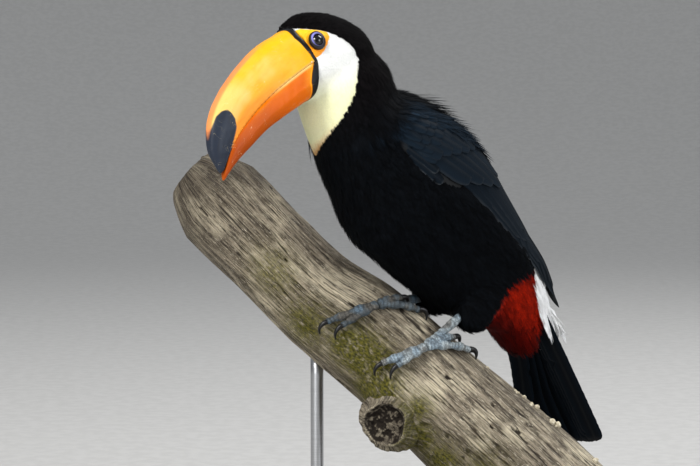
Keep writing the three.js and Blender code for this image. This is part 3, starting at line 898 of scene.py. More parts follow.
def coat_tree():
    """Scatters a lock over the skin, points it along the lie, bends it to the skin and lifts its tip."""
    tree = bpy.data.node_groups.new("coat", "GeometryNodeTree")
    tree.interface.new_socket("Geometry", in_out="INPUT", socket_type="NodeSocketGeometry")
    for title, kind in COAT_INPUTS.items():
        tree.interface.new_socket(title, in_out="INPUT", socket_type="NodeSocket" + kind)
    tree.interface.new_socket("Geometry", in_out="OUTPUT", socket_type="NodeSocketGeometry")
    coat = CoatNodes(tree)
    node, times, add = coat.node, coat.times, coat.plus
    given = node("NodeGroupInput").outputs
    skin, position = given["Geometry"], node("GeometryNodeInputPosition").outputs[0]

    densest = coat.number("DIVIDE", SCATTER_CROWD, times(given["Spacing"], given["Spacing"]))
    scatter = {"Mesh": skin, "Distance Min": given["Spacing"], "Density Max": densest}
    scatter.update({"Density Factor": coat.stored("part", "FLOAT"), "Seed": given["Seed"]})
    scattered = node("GeometryNodeDistributePointsOnFaces", scatter, distribute_method="POISSON")
    roots = scattered.outputs["Points"]
    roots = coat.store(roots, "root", position, "FLOAT_VECTOR")
    roots = coat.store(roots, "stack", coat.chance(0.0, 1.0, 3), "FLOAT")

    either_way = {0: (-1, -1, -1), 1: (1, 1, 1)}
    stray = node("FunctionNodeRandomValue", either_way, data_type="FLOAT_VECTOR").outputs[0]
    pointing = coat.vector("ADD", coat.stored("lie"), coat.vector("SCALE", stray, scale=given["Stray"]))
    upright = {"Vector": coat.stored("outward")}
    turned = node("FunctionNodeAlignRotationToVector", upright, axis="Z").outputs[0]
    aimed = {"Rotation": turned, "Vector": pointing}
    turned = node("FunctionNodeAlignRotationToVector", aimed, axis="Y", pivot_axis="Z").outputs[0]
    size = times(coat.stored("size", "FLOAT"), coat.chance(0.8, 1.2, 5))
    wide, long = times(given["Width"], size), times(given["Length"], size)
    scale = node("ShaderNodeCombineXYZ", {"X": wide, "Y": long, "Z": long}).outputs[0]
    lock = node("GeometryNodeObjectInfo", {"Object": given["Lock"]}).outputs["Geometry"]
    laid = {"Points": roots, "Instance": lock, "Rotation": turned, "Scale": scale}
    laid = node("GeometryNodeInstanceOnPoints", laid).outputs[0]
    real = node("GeometryNodeRealizeInstances", {0: laid}).outputs[0]

    place = node("ShaderNodeSeparateXYZ", {0: coat.stored("place")}).outputs
    curl = times(given["Rise"], coat.number("POWER", place[0], CURL))
    curl = times(times(curl, coat.stored("size", "FLOAT")), add(coat.stored("stack", "FLOAT"), 0.5))
    droop = times(times(place[1], place[1]), times(given["Width"], SIDE_DROOP))
    height = add(add(add(given["Bed"], curl), droop), times(place[2], MM))
    raised = coat.vector("SCALE", coat.nearest(skin, coat.stored("outward"), position), scale=height)
    hugging = coat.vector("ADD", coat.nearest(skin, position, position), raised)
    straight = coat.vector("ADD", position, raised)
    clinging = {0: coat.stored("cling", "FLOAT"), 4: straight, 5: hugging}
    settled = node("ShaderNodeMix", clinging, data_type="VECTOR").outputs[1]
    moved = node("GeometryNodeSetPosition", {"Geometry": real, "Position": settled}).outputs[0]
    coloured = node("GeometryNodeSetMaterial", {"Geometry": moved, "Material": given["Finish"]}).outputs[0]
    node("NodeGroupOutput", {0: coloured})
    return tree


# Each coat: its lock, finish and slot, then in millimetres the spacing, length, width, bed and rise of its
# feathers, and how much they stray.
COATS = {
    "coat_face": ("fine", "pale", "plumage_white", 0.72, 5.0, 1.2, 0.15, 0.5, 0.10),
    "coat_cap": ("fine", "dark", "plumage_black", 0.85, 5.5, 1.4, 0.4, 1.1, 0.12),
    "coat_neck": ("broad", "dark", "plumage_black", 1.25, 12, 2.4, 0.4, 1.4, 0.14),
    "coat_breast": ("broad", "dark", "plumage_black", 1.45, 15, 2.9, 0.6, 2.2, 0.15),
    "coat_belly": ("broad", "dark", "plumage_black", 1.6, 19, 3.1, 0.6, 2.6, 0.18),
    "coat_shoulder": ("broad", "dark", "plumage_black", 1.5, 17, 3.0, 1.8, 2.6, 0.14),
    "coat_mantle": ("loose", "dark", "plumage_black", 1.5, 19, 3.2, 1.2, 3.2, 0.18),
    "coat_mantle_wisps": ("loose", "dark", "plumage_black", 3.0, 26, 3.6, 1.5, 7.0, 0.25),
    "coat_vent": ("broad", "dark", "plumage_red", 1.5, 15, 3.0, 0.4, 1.4, 0.14),
    "coat_vent_wisps": ("loose", "dark", "plumage_red", 2.0, 22, 3.0, 1.0, 2.2, 0.10),
    "coat_rump": ("broad", "pale", "plumage_white", 1.3, 15, 3.2, 0.6, 0.7, 0.06),
    "coat_rump_tips": ("broad", "pale", "plumage_white", 1.9, 34, 5.0, 1.3, 1.3, 0.025),
}
# How steeply the long white feathers come down to the tail, and how far along it their roots reach.
TIP_SLOPE, TIP_REACH = 0.22, 30
# How much each feather's shade may differ from the next, and how dark its root is painted, as painted shade
# under the feathers that cover it, on black and on white.
SHADE_SPREAD, ROOT_SHADE = (0.5, 0.025), (0.62, 0.94)
# A feather's patch on the map for baking.
PATCH = 0.003
KEPT_LAYERS = ("position", "sharp_face", "tint", "bare")


def drop_layers(mesh, *kept):
    """Removes the layers that only the scatter needed."""
    for title in [layer.name for layer in mesh.attributes]:
        if title not in kept and not title.startswith("."):
            mesh.attributes.remove(mesh.attributes[title])


def dress(skin, tree, seed, name, locks, finishes, part, size=1.0, cling=1.0):
    """One region's coat, as a plain mesh whose feathers carry the markings of their roots."""
    lock_name, finish_name, slot_name, *sizes, stray = COATS[name]
    lock = locks[lock_name]
    set_numbers(skin.data, part=part, size=size, cling=cling)
    piece = put(name, skin.data)
    modifier = piece.modifiers.new("coat", "NODES")
    modifier.node_group = tree
    given = {"Lock": lock, "Finish": finishes[finish_name], "Stray": stray, "Seed": seed}
    given.update({title: value * MM for title, value in zip(COAT_SIZES, sizes)})
    for socket in tree.interface.items_tree:
        if socket.in_out == "INPUT" and socket.name in given:
            modifier[socket.identifier] = given[socket.name]
    apply_modifiers(piece)
    mesh = piece.data
    roots, places = vectors_of(mesh, "root"), vectors_of(mesh, "place")
    each = len(lock.data.vertices)
    first = roots[::each]
    base = markings(first, pale_too=float(finish_name == "pale"))[0]
    pale = smooth(0.15, 0.6, base.max(axis=1, keepdims=True))
    base = np.clip(base * (1 + lerp(*SHADE_SPREAD, pale) * random.uniform(-1, 1, (len(first), 1))), 0, 0.93)
    root_shade = np.repeat(lerp(*ROOT_SHADE, pale), each, axis=0)
    drop_layers(mesh, "position", "sharp_face")
    # Each feather is painted darker toward its root: painted shade where the feathers over it cover it.
    set_tint(mesh, np.repeat(base, each, axis=0) * lerp(root_shade, 1.04, places[:, :1]))
    patch = np.column_stack([places[:, 0] - 0.5, places[:, 1] / 2]) * PATCH
    set_map(mesh, "OFBake", np.repeat(unwrap(first), each, axis=0) + patch)
    soft_faces(mesh)
    return piece, finishes[finish_name], slot_name


def dress_bird(skin, finishes):
    """The contour feathers, region by region, smallest on the face."""
    tree = coat_tree()
    locks = {"fine": lock_shape("fine_lock", 3, 0.45), "broad": lock_shape("broad_lock", 5)}
    locks["loose"] = lock_shape("loose_lock", 4, 0.25, 1.5)
    points, normals = arrays(skin.data)
    way = to_way(points)
    bird, head = to_local(BIRD, points), to_local(HEAD, points)
    turned = round_body(bird)[1]
    angle = np.abs(turned)
    colours, bare = markings(points)
    darkest = colours.min(axis=1)
    inside = inside_white(bird, head, way, turned, 0)
    white = smooth(-0.3, 0.3, inside) * (way < 70)
    covered = (bare < 0.02) * (head[:, 0] < np.interp(head[:, 2], BILL_BASE_Z, BILL_BASE_X) - 0.5)
    covered = covered * (from_eye(head) > 8.5)
    under_wing = (way > 52) * smooth(1, 4, angle - np.interp(way, WING_WAY, WING_LOW))
    over_wing = smooth(6, 3, angle - np.interp(way, WING_TOP_WAY, WING_TOP))
    lie = lie_of_coat(points)
    facing = (normals * lie).sum(axis=1)
    tail_end = (way > 250) * (colours[:, 0] > 0.04) * smooth(0.8, 0.5, facing)
    coats = []

    def lay(name, part, size=1.0, cling=1.0):
        coats.append(dress(skin, tree, len(coats) + 1, name, locks, finishes, part, size, cling))

    face_size = lerp(0.7, 1.0, smooth(0, 45, way)) * lerp(0.36, 1.0, smooth(0, 8, inside))
    lay("coat_face", white * covered, face_size)
    lay("coat_cap", (way < 14) * (white < 0.6) * covered)
    nape = smooth(75, 30, angle)
    around_neck = (way >= 8) * (way < 64) * (white < 0.5)
    lay("coat_neck", around_neck, 1 + 0.35 * nape, 1 - 0.3 * smooth(70, 30, angle))
    lay("coat_breast", (way >= 60) * (way < 152) * under_wing)
    lay("coat_belly", (way >= 148) * under_wing * (1 - (tail_end > 0)))
    lay("coat_shoulder", (way > 44) * (way < 62) * smooth(46, 52, angle) * smooth(112, 106, angle))
    ruffled = 1 - 0.6 * smooth(66, 98, way) * smooth(138, 116, way)
    lay("coat_mantle", (way >= 50) * (way < 262) * over_wing, 1 + 0.35 * smooth(80, 115, way), ruffled)
    lay("coat_mantle_wisps", (way > 74) * (way < 112) * smooth(44, 36, angle), cling=0.15)
    red = tail_end * (darkest < 0.2)
    lay("coat_vent", red)
    lay("coat_vent_wisps", red, cling=0.5)
    rump = tail_end * (darkest > 0.5)
    lay("coat_rump", rump)
    under_tail = (np.abs(above_tail(bird)) < 5) * (np.abs(bird[:, 1] - TAIL["aside"]) < 28) * (way > 285)
    tips = rump * (facing < 0.6) * (1 - under_tail) * (along_tail(bird) < TIP_REACH)
    over_tail = unit(unit(normals - lie * facing[:, None]) + TIP_SLOPE * lie)
    set_vectors(skin.data, "outward", over_tail)
    lay("coat_rump_tips", tips, cling=lerp(0.6, 0.05, smooth(258, 278, way)))
    for lock in locks.values():
        bpy.data.objects.remove(lock)
    drop_layers(skin.data, *KEPT_LAYERS)
    return coats


# ---- flight feathers and their coverts: firm vanes laid on the skin ----

FAR_OUT = 160.0
QUILL_THICK = 0.35


class Ground:
    """The skin as something to lay feathers on, in ways along the spine and angles round it."""

    def __init__(self, piece):
        work = bmesh.new()
        work.from_mesh(piece.data)
        self.tree = BVHTree.FromBMesh(work)
        work.free()

    def at(self, way, angle):
        """Points on the spine, outward directions and the skin's reach along them, in the bird's frame."""
        ways = np.clip(way, 0, spine_way[-1])
        along = unit(on_spine(spine_along, ways))
        middle = on_spine(spine, ways) + along * np.asarray(way - ways)[..., None]
        turn = np.radians(angle)
        outward = np.stack([along[..., 1], np.zeros_like(turn), -along[..., 0]], -1) * np.cos(turn)[..., None]
        outward[..., 1] += np.sin(turn)
        centre = np.stack([middle[..., 0], np.zeros_like(turn), middle[..., 1]], -1)
        starts = to_world(BIRD, (centre + outward * FAR_OUT).reshape(-1, 3))
        rays = turn_world(BIRD, -outward.reshape(-1, 3))
        found = np.full_like(starts, np.nan)
        for index, (start, ray) in enumerate(zip(starts, rays)):
            hit = self.tree.ray_cast(Vector(start), Vector(ray), FAR_OUT * MM * 0.97)[0]
            if hit is not None:
                found[index] = hit
        found = to_local(BIRD, found).reshape(centre.shape)
        return centre, outward, filled(((found - centre) * outward).sum(-1))


def filled(reach):
    """Rays that met nothing take their nearest neighbour's reach."""
    for row in range(len(reach)):
        known = np.isfinite(reach[row])
        if known.any():
            reach[row] = np.interp(np.arange(reach.shape[1]), np.flatnonzero(known), reach[row][known])
        elif row:
            reach[row] = reach[row - 1]
    return reach


def softened(grid, rounds):
    """Evens out a grid of numbers along and across it."""
    for _ in range(rounds):
        padded = np.pad(grid, 1, mode="edge")
        grid = (padded[:-2, 1:-1] + padded[2:, 1:-1] + padded[1:-1, :-2] + padded[1:-1, 2:] + 2 * grid) / 6
    return grid


def vane_outline(share, root, round_tip):
    """How wide a feather is along it, as a share of its widest: narrow quill, full vane, round tip."""
    closing = np.clip((share - (1 - round_tip)) / round_tip, 0, 1)
    return smooth(-0.25, root, share) * np.sqrt(np.clip(1 - closing**2, 0, 1))


def vane(heap, centre_at, length, half, colours, rows, seed, bake, columns=9, root=0.15, round_tip=0.3,
         camber=1.3, splits=3, shaft=0.35):
    """One feather: centre_at(u, across) gives its middle surface and outward direction in world metres."""
    draw = np.random.default_rng(SEED * 1000 + seed)
    share = np.linspace(0, 1, rows)[:, None]
    across = np.linspace(-1, 1, columns)[None]
    notch = np.ones((rows, columns))
    for _ in range(splits):
        at, side, deep = draw.uniform(0.35, 0.97), draw.choice([-1, 1]), draw.uniform(0.12, 0.4)
        notch -= deep * bell(share - at, 0.016) * np.clip(side * across, 0, 1) ** 2
    ragged = 1 + 0.03 * draw.uniform(-1, 1, (rows, 1))
    v = across * vane_outline(share, root, round_tip) * notch * ragged
    barb_sweep = 0.3 * np.abs(across) * half / max(length, 1)
    place_u = np.clip(share + barb_sweep * smooth(0, 0.1, share) * (1 - smooth(0.9, 1, share)), 0, 1)
    points, normals = centre_at(place_u, v * half)
    dome = shaft * bell(across, 0.16) * (1 - 0.7 * share)
    thick = QUILL_THICK * (1 - 0.6 * across**2)
    top, under = (points + normals * ((height - camber * v**2) * MM)[..., None] for height in (dome, -thick))
    count = rows * columns
    front = strip_faces(rows, columns)
    back = [[corner + count for corner in face[::-1]] for face in front]
    rim = list(range(columns)) + [row * columns + columns - 1 for row in range(1, rows)]
    rim += [(rows - 1) * columns + column for column in range(columns - 2, -1, -1)]
    rim += [row * columns for row in range(rows - 2, 0, -1)]
    edges = [(first, first + count, after + count, after) for first, after in zip(rim, rim[1:] + rim[:1])]
    u, v = (np.broadcast_to(values, (rows, columns)) for values in (share, across))
    tint = colours(u, v).reshape(-1, 3)
    place = np.stack([u, v], -1).reshape(-1, 2)
    patch = np.array(bake) + PATCH * np.column_stack([place[:, 0] - 0.5, place[:, 1] / 2])
    heap.add(
        np.concatenate([top.reshape(-1, 3), under.reshape(-1, 3)]),
        [face[::-1] for face in front + back + edges],
        # The underside takes a copy of the colour painted 0.8 as dark: a painted shade.
        colour=np.concatenate([tint, tint * 0.8]),
        vane=np.tile(place, (2, 1)),
        OFBake=np.tile(patch, (2, 1)),
    )


# Each row of the folded wing, as feathers from (way, angle) at the root to (way, angle) at the tip. Then half
# their width, the height of the first one's root and tip, how much each next one is higher, how far the upper
# edge tucks under, the strength of the pale edge line (worn fringe and painted highlight) and of the painted
# slate sheen, and the shape and detail of the vane.
WING_ROWS = [
    {
        "feathers": [
            ((120, 75), (290, 49)), ((124, 68), (306, 44)), ((127, 60), (321, 40)), ((130, 51), (329, 33)),
            ((132, 41), (318, 23)), ((134, 31), (297, 13)), ((135, 22), (268, 7)),
        ],
        "half": 11.5, "lift": (0.8, 2.4), "step": (0.3, 0.8), "tuck": 0.9, "worn": (0.55, 0.2), "painted_sheen": 0.5,
        "shape": {"rows": 64, "round_tip": 0.16},
    },
    {
        "feathers": [
            ((98, 85), (140, 76)), ((99, 79), (152, 66)), ((100, 71), (164, 58)), ((101, 62), (176, 48)),
            ((103, 52), (173, 37)), ((106, 42), (165, 26)),
        ],
        "half": 9.5, "lift": (1.6, 3.2), "step": (0.2, 0.25), "tuck": 0.8, "worn": (0.2, 0.2), "painted_sheen": 0.75,
        "shape": {"rows": 40, "round_tip": 0.42, "splits": 2},
    },
    {
        "feathers": [
            ((78, 88), (104, 82)), ((79, 81), (110, 73)), ((80, 74), (118, 65)), ((82, 66), (126, 57)),
            ((84, 58), (132, 49)), ((88, 50), (136, 40)),
        ],
        "half": 8.5, "lift": (1.8, 3.8), "step": (0.1, 0.15), "tuck": 0.7, "worn": (0.12, 0.12),
        "painted_sheen": 0.85,
        "shape": {"rows": 30, "round_tip": 0.5, "splits": 1},
    },
    {
        "feathers": [((86, 101), (121, 97)), ((81, 98), (111, 94))],
        "half": 4.2, "lift": (1.4, 2.6), "step": (0, 0), "tuck": 0.5, "worn": (0.6, 0.6), "painted_sheen": 0.5,
        "shape": {"rows": 30, "columns": 7, "camber": 0.8, "splits": 1},
    },
]
# The small coverts at the bend of the wing, rank over rank.
LESSER = {"ways": (80, 72, 64, 56), "top": 50, "bottom": 93, "step": 8, "length": 25, "half": 5.6}
LESSER_SHAPE = {"rows": 18, "columns": 7, "round_tip": 0.6, "camber": 1.1, "splits": 1}
# About how far out the wing lies, to turn degrees round the body into millimetres.
WING_REACH = 52.0
# Where the flight feathers begin to stand off the rump, and how fast.
LIFT_OFF = {"way": 245, "slope": 0.09}


def wing_colours(edge_light, painted_sheen):
    """Black vanes with a painted slate sheen, and a pale line along the outer edge and tip, partly worn
    fringe and partly painted highlight.
    """

    def colours(u, v):
        edge = smooth(-0.9, -0.99, v) * smooth(0.1, 0.3, u) * edge_light
        tip = smooth(0.93, 1.0, u) * edge_light * 0.5
        shaft = bell(v, 0.09) * 0.25 * (1 - 0.6 * u)
        slate_sheen = painted_sheen * (0.45 + 0.4 * smooth(0.2, -0.9, v))
        worn = (PLUMAGE["worn"], np.maximum(edge, tip))
        return painted(PLUMAGE["black"], (PLUMAGE["slate_sheen"], slate_sheen), worn, (srgb(46, 50, 54), shaft))

    return colours


def body_vane(heap, ground, side, start, end, half, lift, tuck, **shape):
    """A feather on the body from one way and angle to another; lift is its height at root and tip."""
    to_mm = radians(1) * WING_REACH
    run = np.array([end[0] - start[0], (end[1] - start[1]) * to_mm])
    length = float(np.hypot(*run))
    along, across = run / length, np.array([run[1], -run[0]]) / length

    def centre_at(u, aside):
        way = start[0] + along[0] * u * length + across[0] * aside
        round_mm = start[1] * to_mm + along[1] * u * length + across[1] * aside
        centre, outward, reach = ground.at(way, side * round_mm / to_mm)
        rise = lerp(*lift, u) - tuck * aside / half + LIFT_OFF["slope"] * np.maximum(way - LIFT_OFF["way"], 0)
        points = centre + outward * (softened(reach, 3) + rise)[..., None]
        return to_world(BIRD, points), turn_world(BIRD, outward)

    x, z = on_spine(spine, min(start[0], spine_way[-1]))
    root = to_world(BIRD, [[x, side * 45.0 * sin(radians(start[1])), z]])
    vane(heap, centre_at, length, half, bake=unwrap(root)[0], **shape)


def folded_wing(ground, name, side):
    """A folded wing: lesser, median and greater coverts over the flight feathers, each row under the last."""
    heap = Heap()
    for rank, row in enumerate(WING_ROWS):
        for index, (start, end) in enumerate(row["feathers"]):
            lift = [height + step * index for height, step in zip(row["lift"], row["step"])]
            colours = wing_colours(row["worn"][min(index, 1)], row["painted_sheen"])
            body_vane(heap, ground, side, start, end, row["half"], lift, row["tuck"], colours=colours,
                      seed=20 * rank + index, **row["shape"])
    count = 0
    for rank, way in enumerate(LESSER["ways"]):
        for angle in np.arange(LESSER["bottom"] - 4 * (rank % 2), LESSER["top"], -LESSER["step"]):
            shift = random.uniform(-1.5, 1.5)
            end = way + LESSER["length"] + shift, angle - 4 + random.uniform(-2, 2)
            lift = 0.9 + 0.3 * rank, 3.4 + 0.3 * rank
            body_vane(heap, ground, side, (way + shift, angle), end, LESSER["half"], lift, 0.5,
                      colours=wing_colours(0.05, 0.9), seed=80 + count, **LESSER_SHAPE)
            count += 1
    return heap.piece(name, "vane", "OFBake")


# ---- tail ----

# How far the tail's feathers spread to each side at root and tip, and how much further the near side's open.
TAIL_SPREAD, TAIL_OPENED = (20.0, 17.0), 15
TAIL_FEATHERS = 10
# How far the outermost opened feather hangs below the rest.
TAIL_DROOP = 2.0
TAIL_SHAPE = {"rows": 72, "root": 0.02, "round_tip": 0.07, "camber": 0.6}


def tail_frame():
    """The tail's root, tip, upper direction and sideways direction, in the bird's frame."""
    root, tip = (np.array([x, TAIL["aside"], z], float) for x, z in (TAIL["root"], TAIL["tip"]))
    direction = unit(tip - root)
    above = Vector((direction[2], 0, -direction[0]))
    above.rotate(Matrix.Rotation(radians(TAIL["twist"]), 3, Vector(direction)))
    above = np.array(above)
    return root, tip, above, np.cross(above, direction)


def tail_colours(u, v):
    # A painted slate sheen over the black, stronger toward the edges.
    painted_sheen = 0.25 + 0.3 * smooth(0.2, 0.9, np.abs(v))
    frayed, shaft = (srgb(58, 56, 54), 0.5 * smooth(0.95, 1, u)), (srgb(50, 50, 50), bell(v, 0.08) * 0.3)
    return painted(PLUMAGE["black"], (PLUMAGE["slate_sheen"], painted_sheen), frayed, shaft)


def tail_piece():
    """Ten long square-ended feathers, the middle pair on top and each pair outside it lower and shorter."""
    root, tip, above, sideways = tail_frame()
    heap = Heap()
    for index in range(TAIL_FEATHERS):
        place = -1 + 2 * index / (TAIL_FEATHERS - 1)
        out = abs(place)
        short = 0.03 * out**2 + 0.01 * random.uniform(0, 1)
        height = 2.2 - 4.8 * out + 0.3 * np.sign(place)

        def centre_at(u, aside, place=place, short=short, height=height):
            run = 0.02 + u * (0.98 - short)
            opened_and_shaded = smooth(0.3, 0.75, run) * (place > 0)
            spread = (lerp(*TAIL_SPREAD, run) + TAIL_OPENED * opened_and_shaded) * place
            bend = height - TAIL["arch"] * (spread / 24) ** 2 + 1.2 * np.sin(pi * run) - 0.04 * aside * place
            bend = (bend - TAIL_DROOP * opened_and_shaded * place**2)[..., None]
            at = lerp(root, tip, run[..., None]) + above * bend + sideways * (spread + aside)[..., None]
            return to_world(BIRD, at), turn_world(BIRD, np.broadcast_to(above, at.shape))

        bake = 0.75, 0.5 + 0.008 * (index - TAIL_FEATHERS / 2)
        vane(heap, centre_at, 170, 9.8, tail_colours, seed=200 + index, bake=bake, **TAIL_SHAPE)
    return heap.piece("tail_feathers", "vane", "OFBake")


# ---- bill ----

RIDGE = [(41, 30), (74, 21.5), (110, 2.5), (134, -18), (146, -42), (143.5, -63)]
MOUTH = [(34, -1), (57, -8), (84, -18), (108, -30.5), (127, -45), (141, -64)]
LIP = MOUTH[:-1] + [(142, -68)]
KEEL = [(42, -28.5), (63, -34), (90, -42), (111, -51.5), (129, -60.5), (142.5, -70.5)]
BILL_SIDE = [21, 18.5, 15, 11.5, 7.5, 1.6]
BILL_LENGTH = 142.0
MOUTH_GAP = 0.15
# The grid's rows along the bill and tucked under the feathers, and its points outside and inside.
BILL_ROWS, TUCKED_ROWS, BILL_ROUND, BILL_INNER = 300, 7, 150, 38
TUCKED = 6.0
BILL = {
    "pale": srgb(234, 195, 106),
    "yellow": srgb(241, 175, 44),
    "gold": srgb(252, 178, 4),
    "peach": srgb(240, 146, 46),
    "ridge": srgb(246, 144, 84),
    "black": srgb(42, 48, 60),
    "band": srgb(18, 19, 23),
    "orange": srgb(216, 99, 0),
    "burnt": srgb(160, 66, 4),
    "edge": srgb(255, 226, 150),
}
# The black patch at the tip: its lower and upper edge along the bill, as shares from mouth to ridge.
PATCH_ALONG = [0.565, 0.59, 0.62, 0.67, 0.72, 0.79, 0.88, 1.0]
PATCH_LOW = [0.80, 0.60, 0.42, 0.24, 0.14, 0.06, -0.1, -0.1]
PATCH_HIGH = [0.70, 0.86, 0.93, 0.97, 0.99, 1.05, 1.2, 1.2]
# How far forward the upper bill's base is drawn, at shares of the way from mouth to ridge.
BASE_SHARE = [0, 0.2, 0.39, 0.58, 0.74, 0.87, 1.0]
BASE_FORWARD = [0, 0.6, 1.8, 2.7, 3.7, 2.3, 0.4]
# The black band at the lower bill's base: how far forward it reaches, at shares of the way from lip to keel.
BAND_SHARE = [0, 0.25, 0.5, 0.75, 1.0]
BAND_WIDE = [4.8, 7.6, 9.4, 7.0, 4.0]


def mandible(outer, mouth, boxiness, forward=0.0):
    """Half a bill as a grid of points, with each one's share along, share up to its outer line, and side."""
    tucked_rows = np.linspace(-TUCKED / BILL_LENGTH, 0, TUCKED_ROWS + 1)[:-1]
    rows = np.concatenate([tucked_rows, 1 - np.linspace(1, 0, BILL_ROWS) ** 1.15])
    under = np.linspace(pi / 2, pi * 1.5, BILL_INNER + 2)[1:-1]
    angles = np.concatenate([np.linspace(-pi / 2, pi / 2, BILL_ROUND), under])
    inside = np.clip(rows, 0, 1)
    far, near, half = through(outer, inside), through(mouth, inside), through(BILL_SIDE, inside)
    tangent = unit(np.gradient(near[TUCKED_ROWS:], axis=0))
    tangent = np.concatenate([np.repeat(tangent[:1], TUCKED_ROWS, 0), tangent])
    tall = np.linalg.norm(far - near, axis=1)
    upwards = (far - near) / tall[:, None]
    tip = np.sqrt(np.clip(1 - (np.clip(rows - 0.965, 0, 1) / 0.035) ** 2, 0.0, 1))
    size = (tip * (1 - 0.22 * smooth(0, -TUCKED / BILL_LENGTH, rows)))[:, None]
    lift = np.maximum(np.cos(angles), 0) ** boxiness
    aside = np.sign(np.sin(angles)) * np.abs(np.sin(angles)) ** boxiness
    up = MOUTH_GAP + (tall[:, None] * (0.4 + (lift[None] - 0.4) * size)) * (1 - MOUTH_GAP / tall[:, None])
    base = near + tangent * (np.minimum(rows, 0) * BILL_LENGTH)[:, None]
    by_base = smooth(40, 0, rows * BILL_LENGTH)[:, None]
    drawn = forward * np.interp(lift, BASE_SHARE, BASE_FORWARD)[None] * by_base
    flat = base[:, None, :] + upwards[:, None, :] * up[..., None] + tangent[:, None, :] * drawn[..., None]
    grid = np.stack([flat[..., 0], aside[None] * half[:, None] * size, flat[..., 1]], -1)
    along, share, aside = np.broadcast_arrays(rows[:, None], lift[None], aside[None])
    return grid, along, share, aside


def push_out(grid, amounts):
    """Moves a grid's points along its own surface directions, by millimetres."""
    normal = unit(np.cross(np.roll(grid, -1, 1) - np.roll(grid, 1, 1), np.gradient(grid, axis=0)))
    middle = grid.mean(axis=1, keepdims=True)
    facing = np.sign(((grid - middle) * normal).sum(-1).mean())
    return grid + normal * facing * amounts[..., None]


def horn_detail(grid, along, share, seed):
    """Long shallow flutes, growth rings and small dents, in millimetres."""
    length = along * BILL_LENGTH
    flutes = 0.16 * noise_at(seed, length / 60, share * 7, grid[..., 1] / 60)
    rings = 0.10 * noise_at(seed + 1, length / 5.5, share * 0.8)
    dents = 0.12 * noise(grid / 9, seed + 2) + 0.05 * noise(grid / 2.6, seed + 3)
    return (flutes + rings + dents) * smooth(0, 0.07, share) * smooth(0, 0.03, along)


def serration(along, share, high):
    """Small forward notches along the cutting edge."""
    tooth = (along * BILL_LENGTH / 4.6) % 1.0
    return smooth(high, 0.0, share) * smooth(0.08, 0.2, along) * smooth(0.98, 0.9, along) * (0.5 - tooth)


def horn_piece(name, grid, amounts, colours, along, share, aside):
    """Half a bill, with its relief in millimetres and a map along and up it."""
    grid = to_world(HEAD, push_out(grid, amounts))
    return tube(name, grid, colours, horn=np.stack([along, share * np.sign(aside + 1e-9)], -1))


def upper_bill():
    grid, along, share, aside = mandible(RIDGE, MOUTH, 0.72, 1.0)
    world = to_world(HEAD, grid)
    wander, clouds = 0.012 * noise(world * 160, 21), layers(world * 45, 31)
    near_base = along * BILL_LENGTH
    band = smooth(3.4, 2.9, near_base + 12 * wander)
    lower, upper = np.interp(along, PATCH_ALONG, PATCH_LOW), np.interp(along, PATCH_ALONG, PATCH_HIGH)
    patch = smooth(-0.015, 0.02, share - lower + wander) * smooth(0.02, -0.015, share - upper + wander)
    patch *= smooth(PATCH_ALONG[0], PATCH_ALONG[0] + 0.02, along)
    # The pale yellow left over the middle of each side is partly the horn's own colour and partly a painted
    # highlight.
    yellow = smooth(-0.5, 0.5, clouds + 0.5 - 1.3 * smooth(0.1, 0.55, along) * smooth(0.2, 0.6, share))
    peach = smooth(0.42, 0.06, share) * smooth(0.15, 0.45, along)
    peach = peach + 0.5 * smooth(0.4, 0.56, along) * smooth(0.75, 0.2, share)
    colours = painted(
        BILL["pale"],
        (BILL["yellow"], yellow),
        (BILL["gold"], 0.85 * smooth(0.34, 0.04, along) * smooth(1.0, 0.35, share)),
        (BILL["gold"], 0.7 * smooth(0.74, 0.86, share) * smooth(0.5, 0.2, along)),
        (BILL["peach"], np.clip(peach, 0, 1)),
        (BILL["ridge"], 0.9 * smooth(0.965, 0.995, share) * smooth(0.12, 0.3, along)),
        (BILL["edge"], 0.55 * smooth(0.035, 0.0, share) * smooth(0.5, 0.3, along)),
        (BILL["black"], patch),
        (BILL["band"], band),
    )
    amounts = horn_detail(grid, along, share, 40) + 0.55 * smooth(4.2, 2.6, near_base)
    amounts += 0.08 * serration(along, share, 0.07) - 0.12 * patch
    return horn_piece("bill_upper_horn", grid, amounts, colours, along, share, aside)


def lower_bill():
    grid, along, share, aside = mandible(KEEL, LIP, 0.6)
    world = to_world(HEAD, grid)
    wander, clouds = 0.012 * noise(world * 160, 22), layers(world * 45, 32)
    past_band = along * BILL_LENGTH - np.interp(share, BAND_SHARE, BAND_WIDE) - 30 * wander
    inner = smooth(0.9, 0.0, np.abs(past_band - 0.9))
    lip = smooth(0.05, 0.0, share) * smooth(0.03, 0.07, along) * smooth(0.45, 0.25, along)
    colours = painted(
        BILL["orange"],
        (BILL["burnt"], smooth(0.35, 0.95, along + 0.35 * share + 0.12 * clouds)),
        (BILL["gold"], 0.5 * smooth(0.16, 0.03, along) * smooth(0.9, 0.3, share)),
        (BILL["gold"], 0.25 * smooth(0.3, 0.0, share) * smooth(-0.4, 0.8, clouds)),
        (BILL["gold"], 0.8 * inner * smooth(0.05, 0.3, share)),
        (BILL["edge"], 0.7 * lip),
        (BILL["band"], smooth(0.4, -0.4, past_band)),
    )
    amounts = horn_detail(grid, along, share, 50) + 0.5 * smooth(0.7, -0.7, past_band)
    amounts += 0.06 * serration(along, share, 0.08)
    return horn_piece("bill_lower_horn", grid, amounts, colours, along, share, aside)


# ---- eyes ----

EYE_AXIS = (0.24, 0.955, 0.17)
BALL = {"radius": 6.2, "sunk": 3.6, "rows": 60, "columns": 72}
LID = {"violet": 4.8, "tall": 1.15, "rows": 64, "columns": 180}
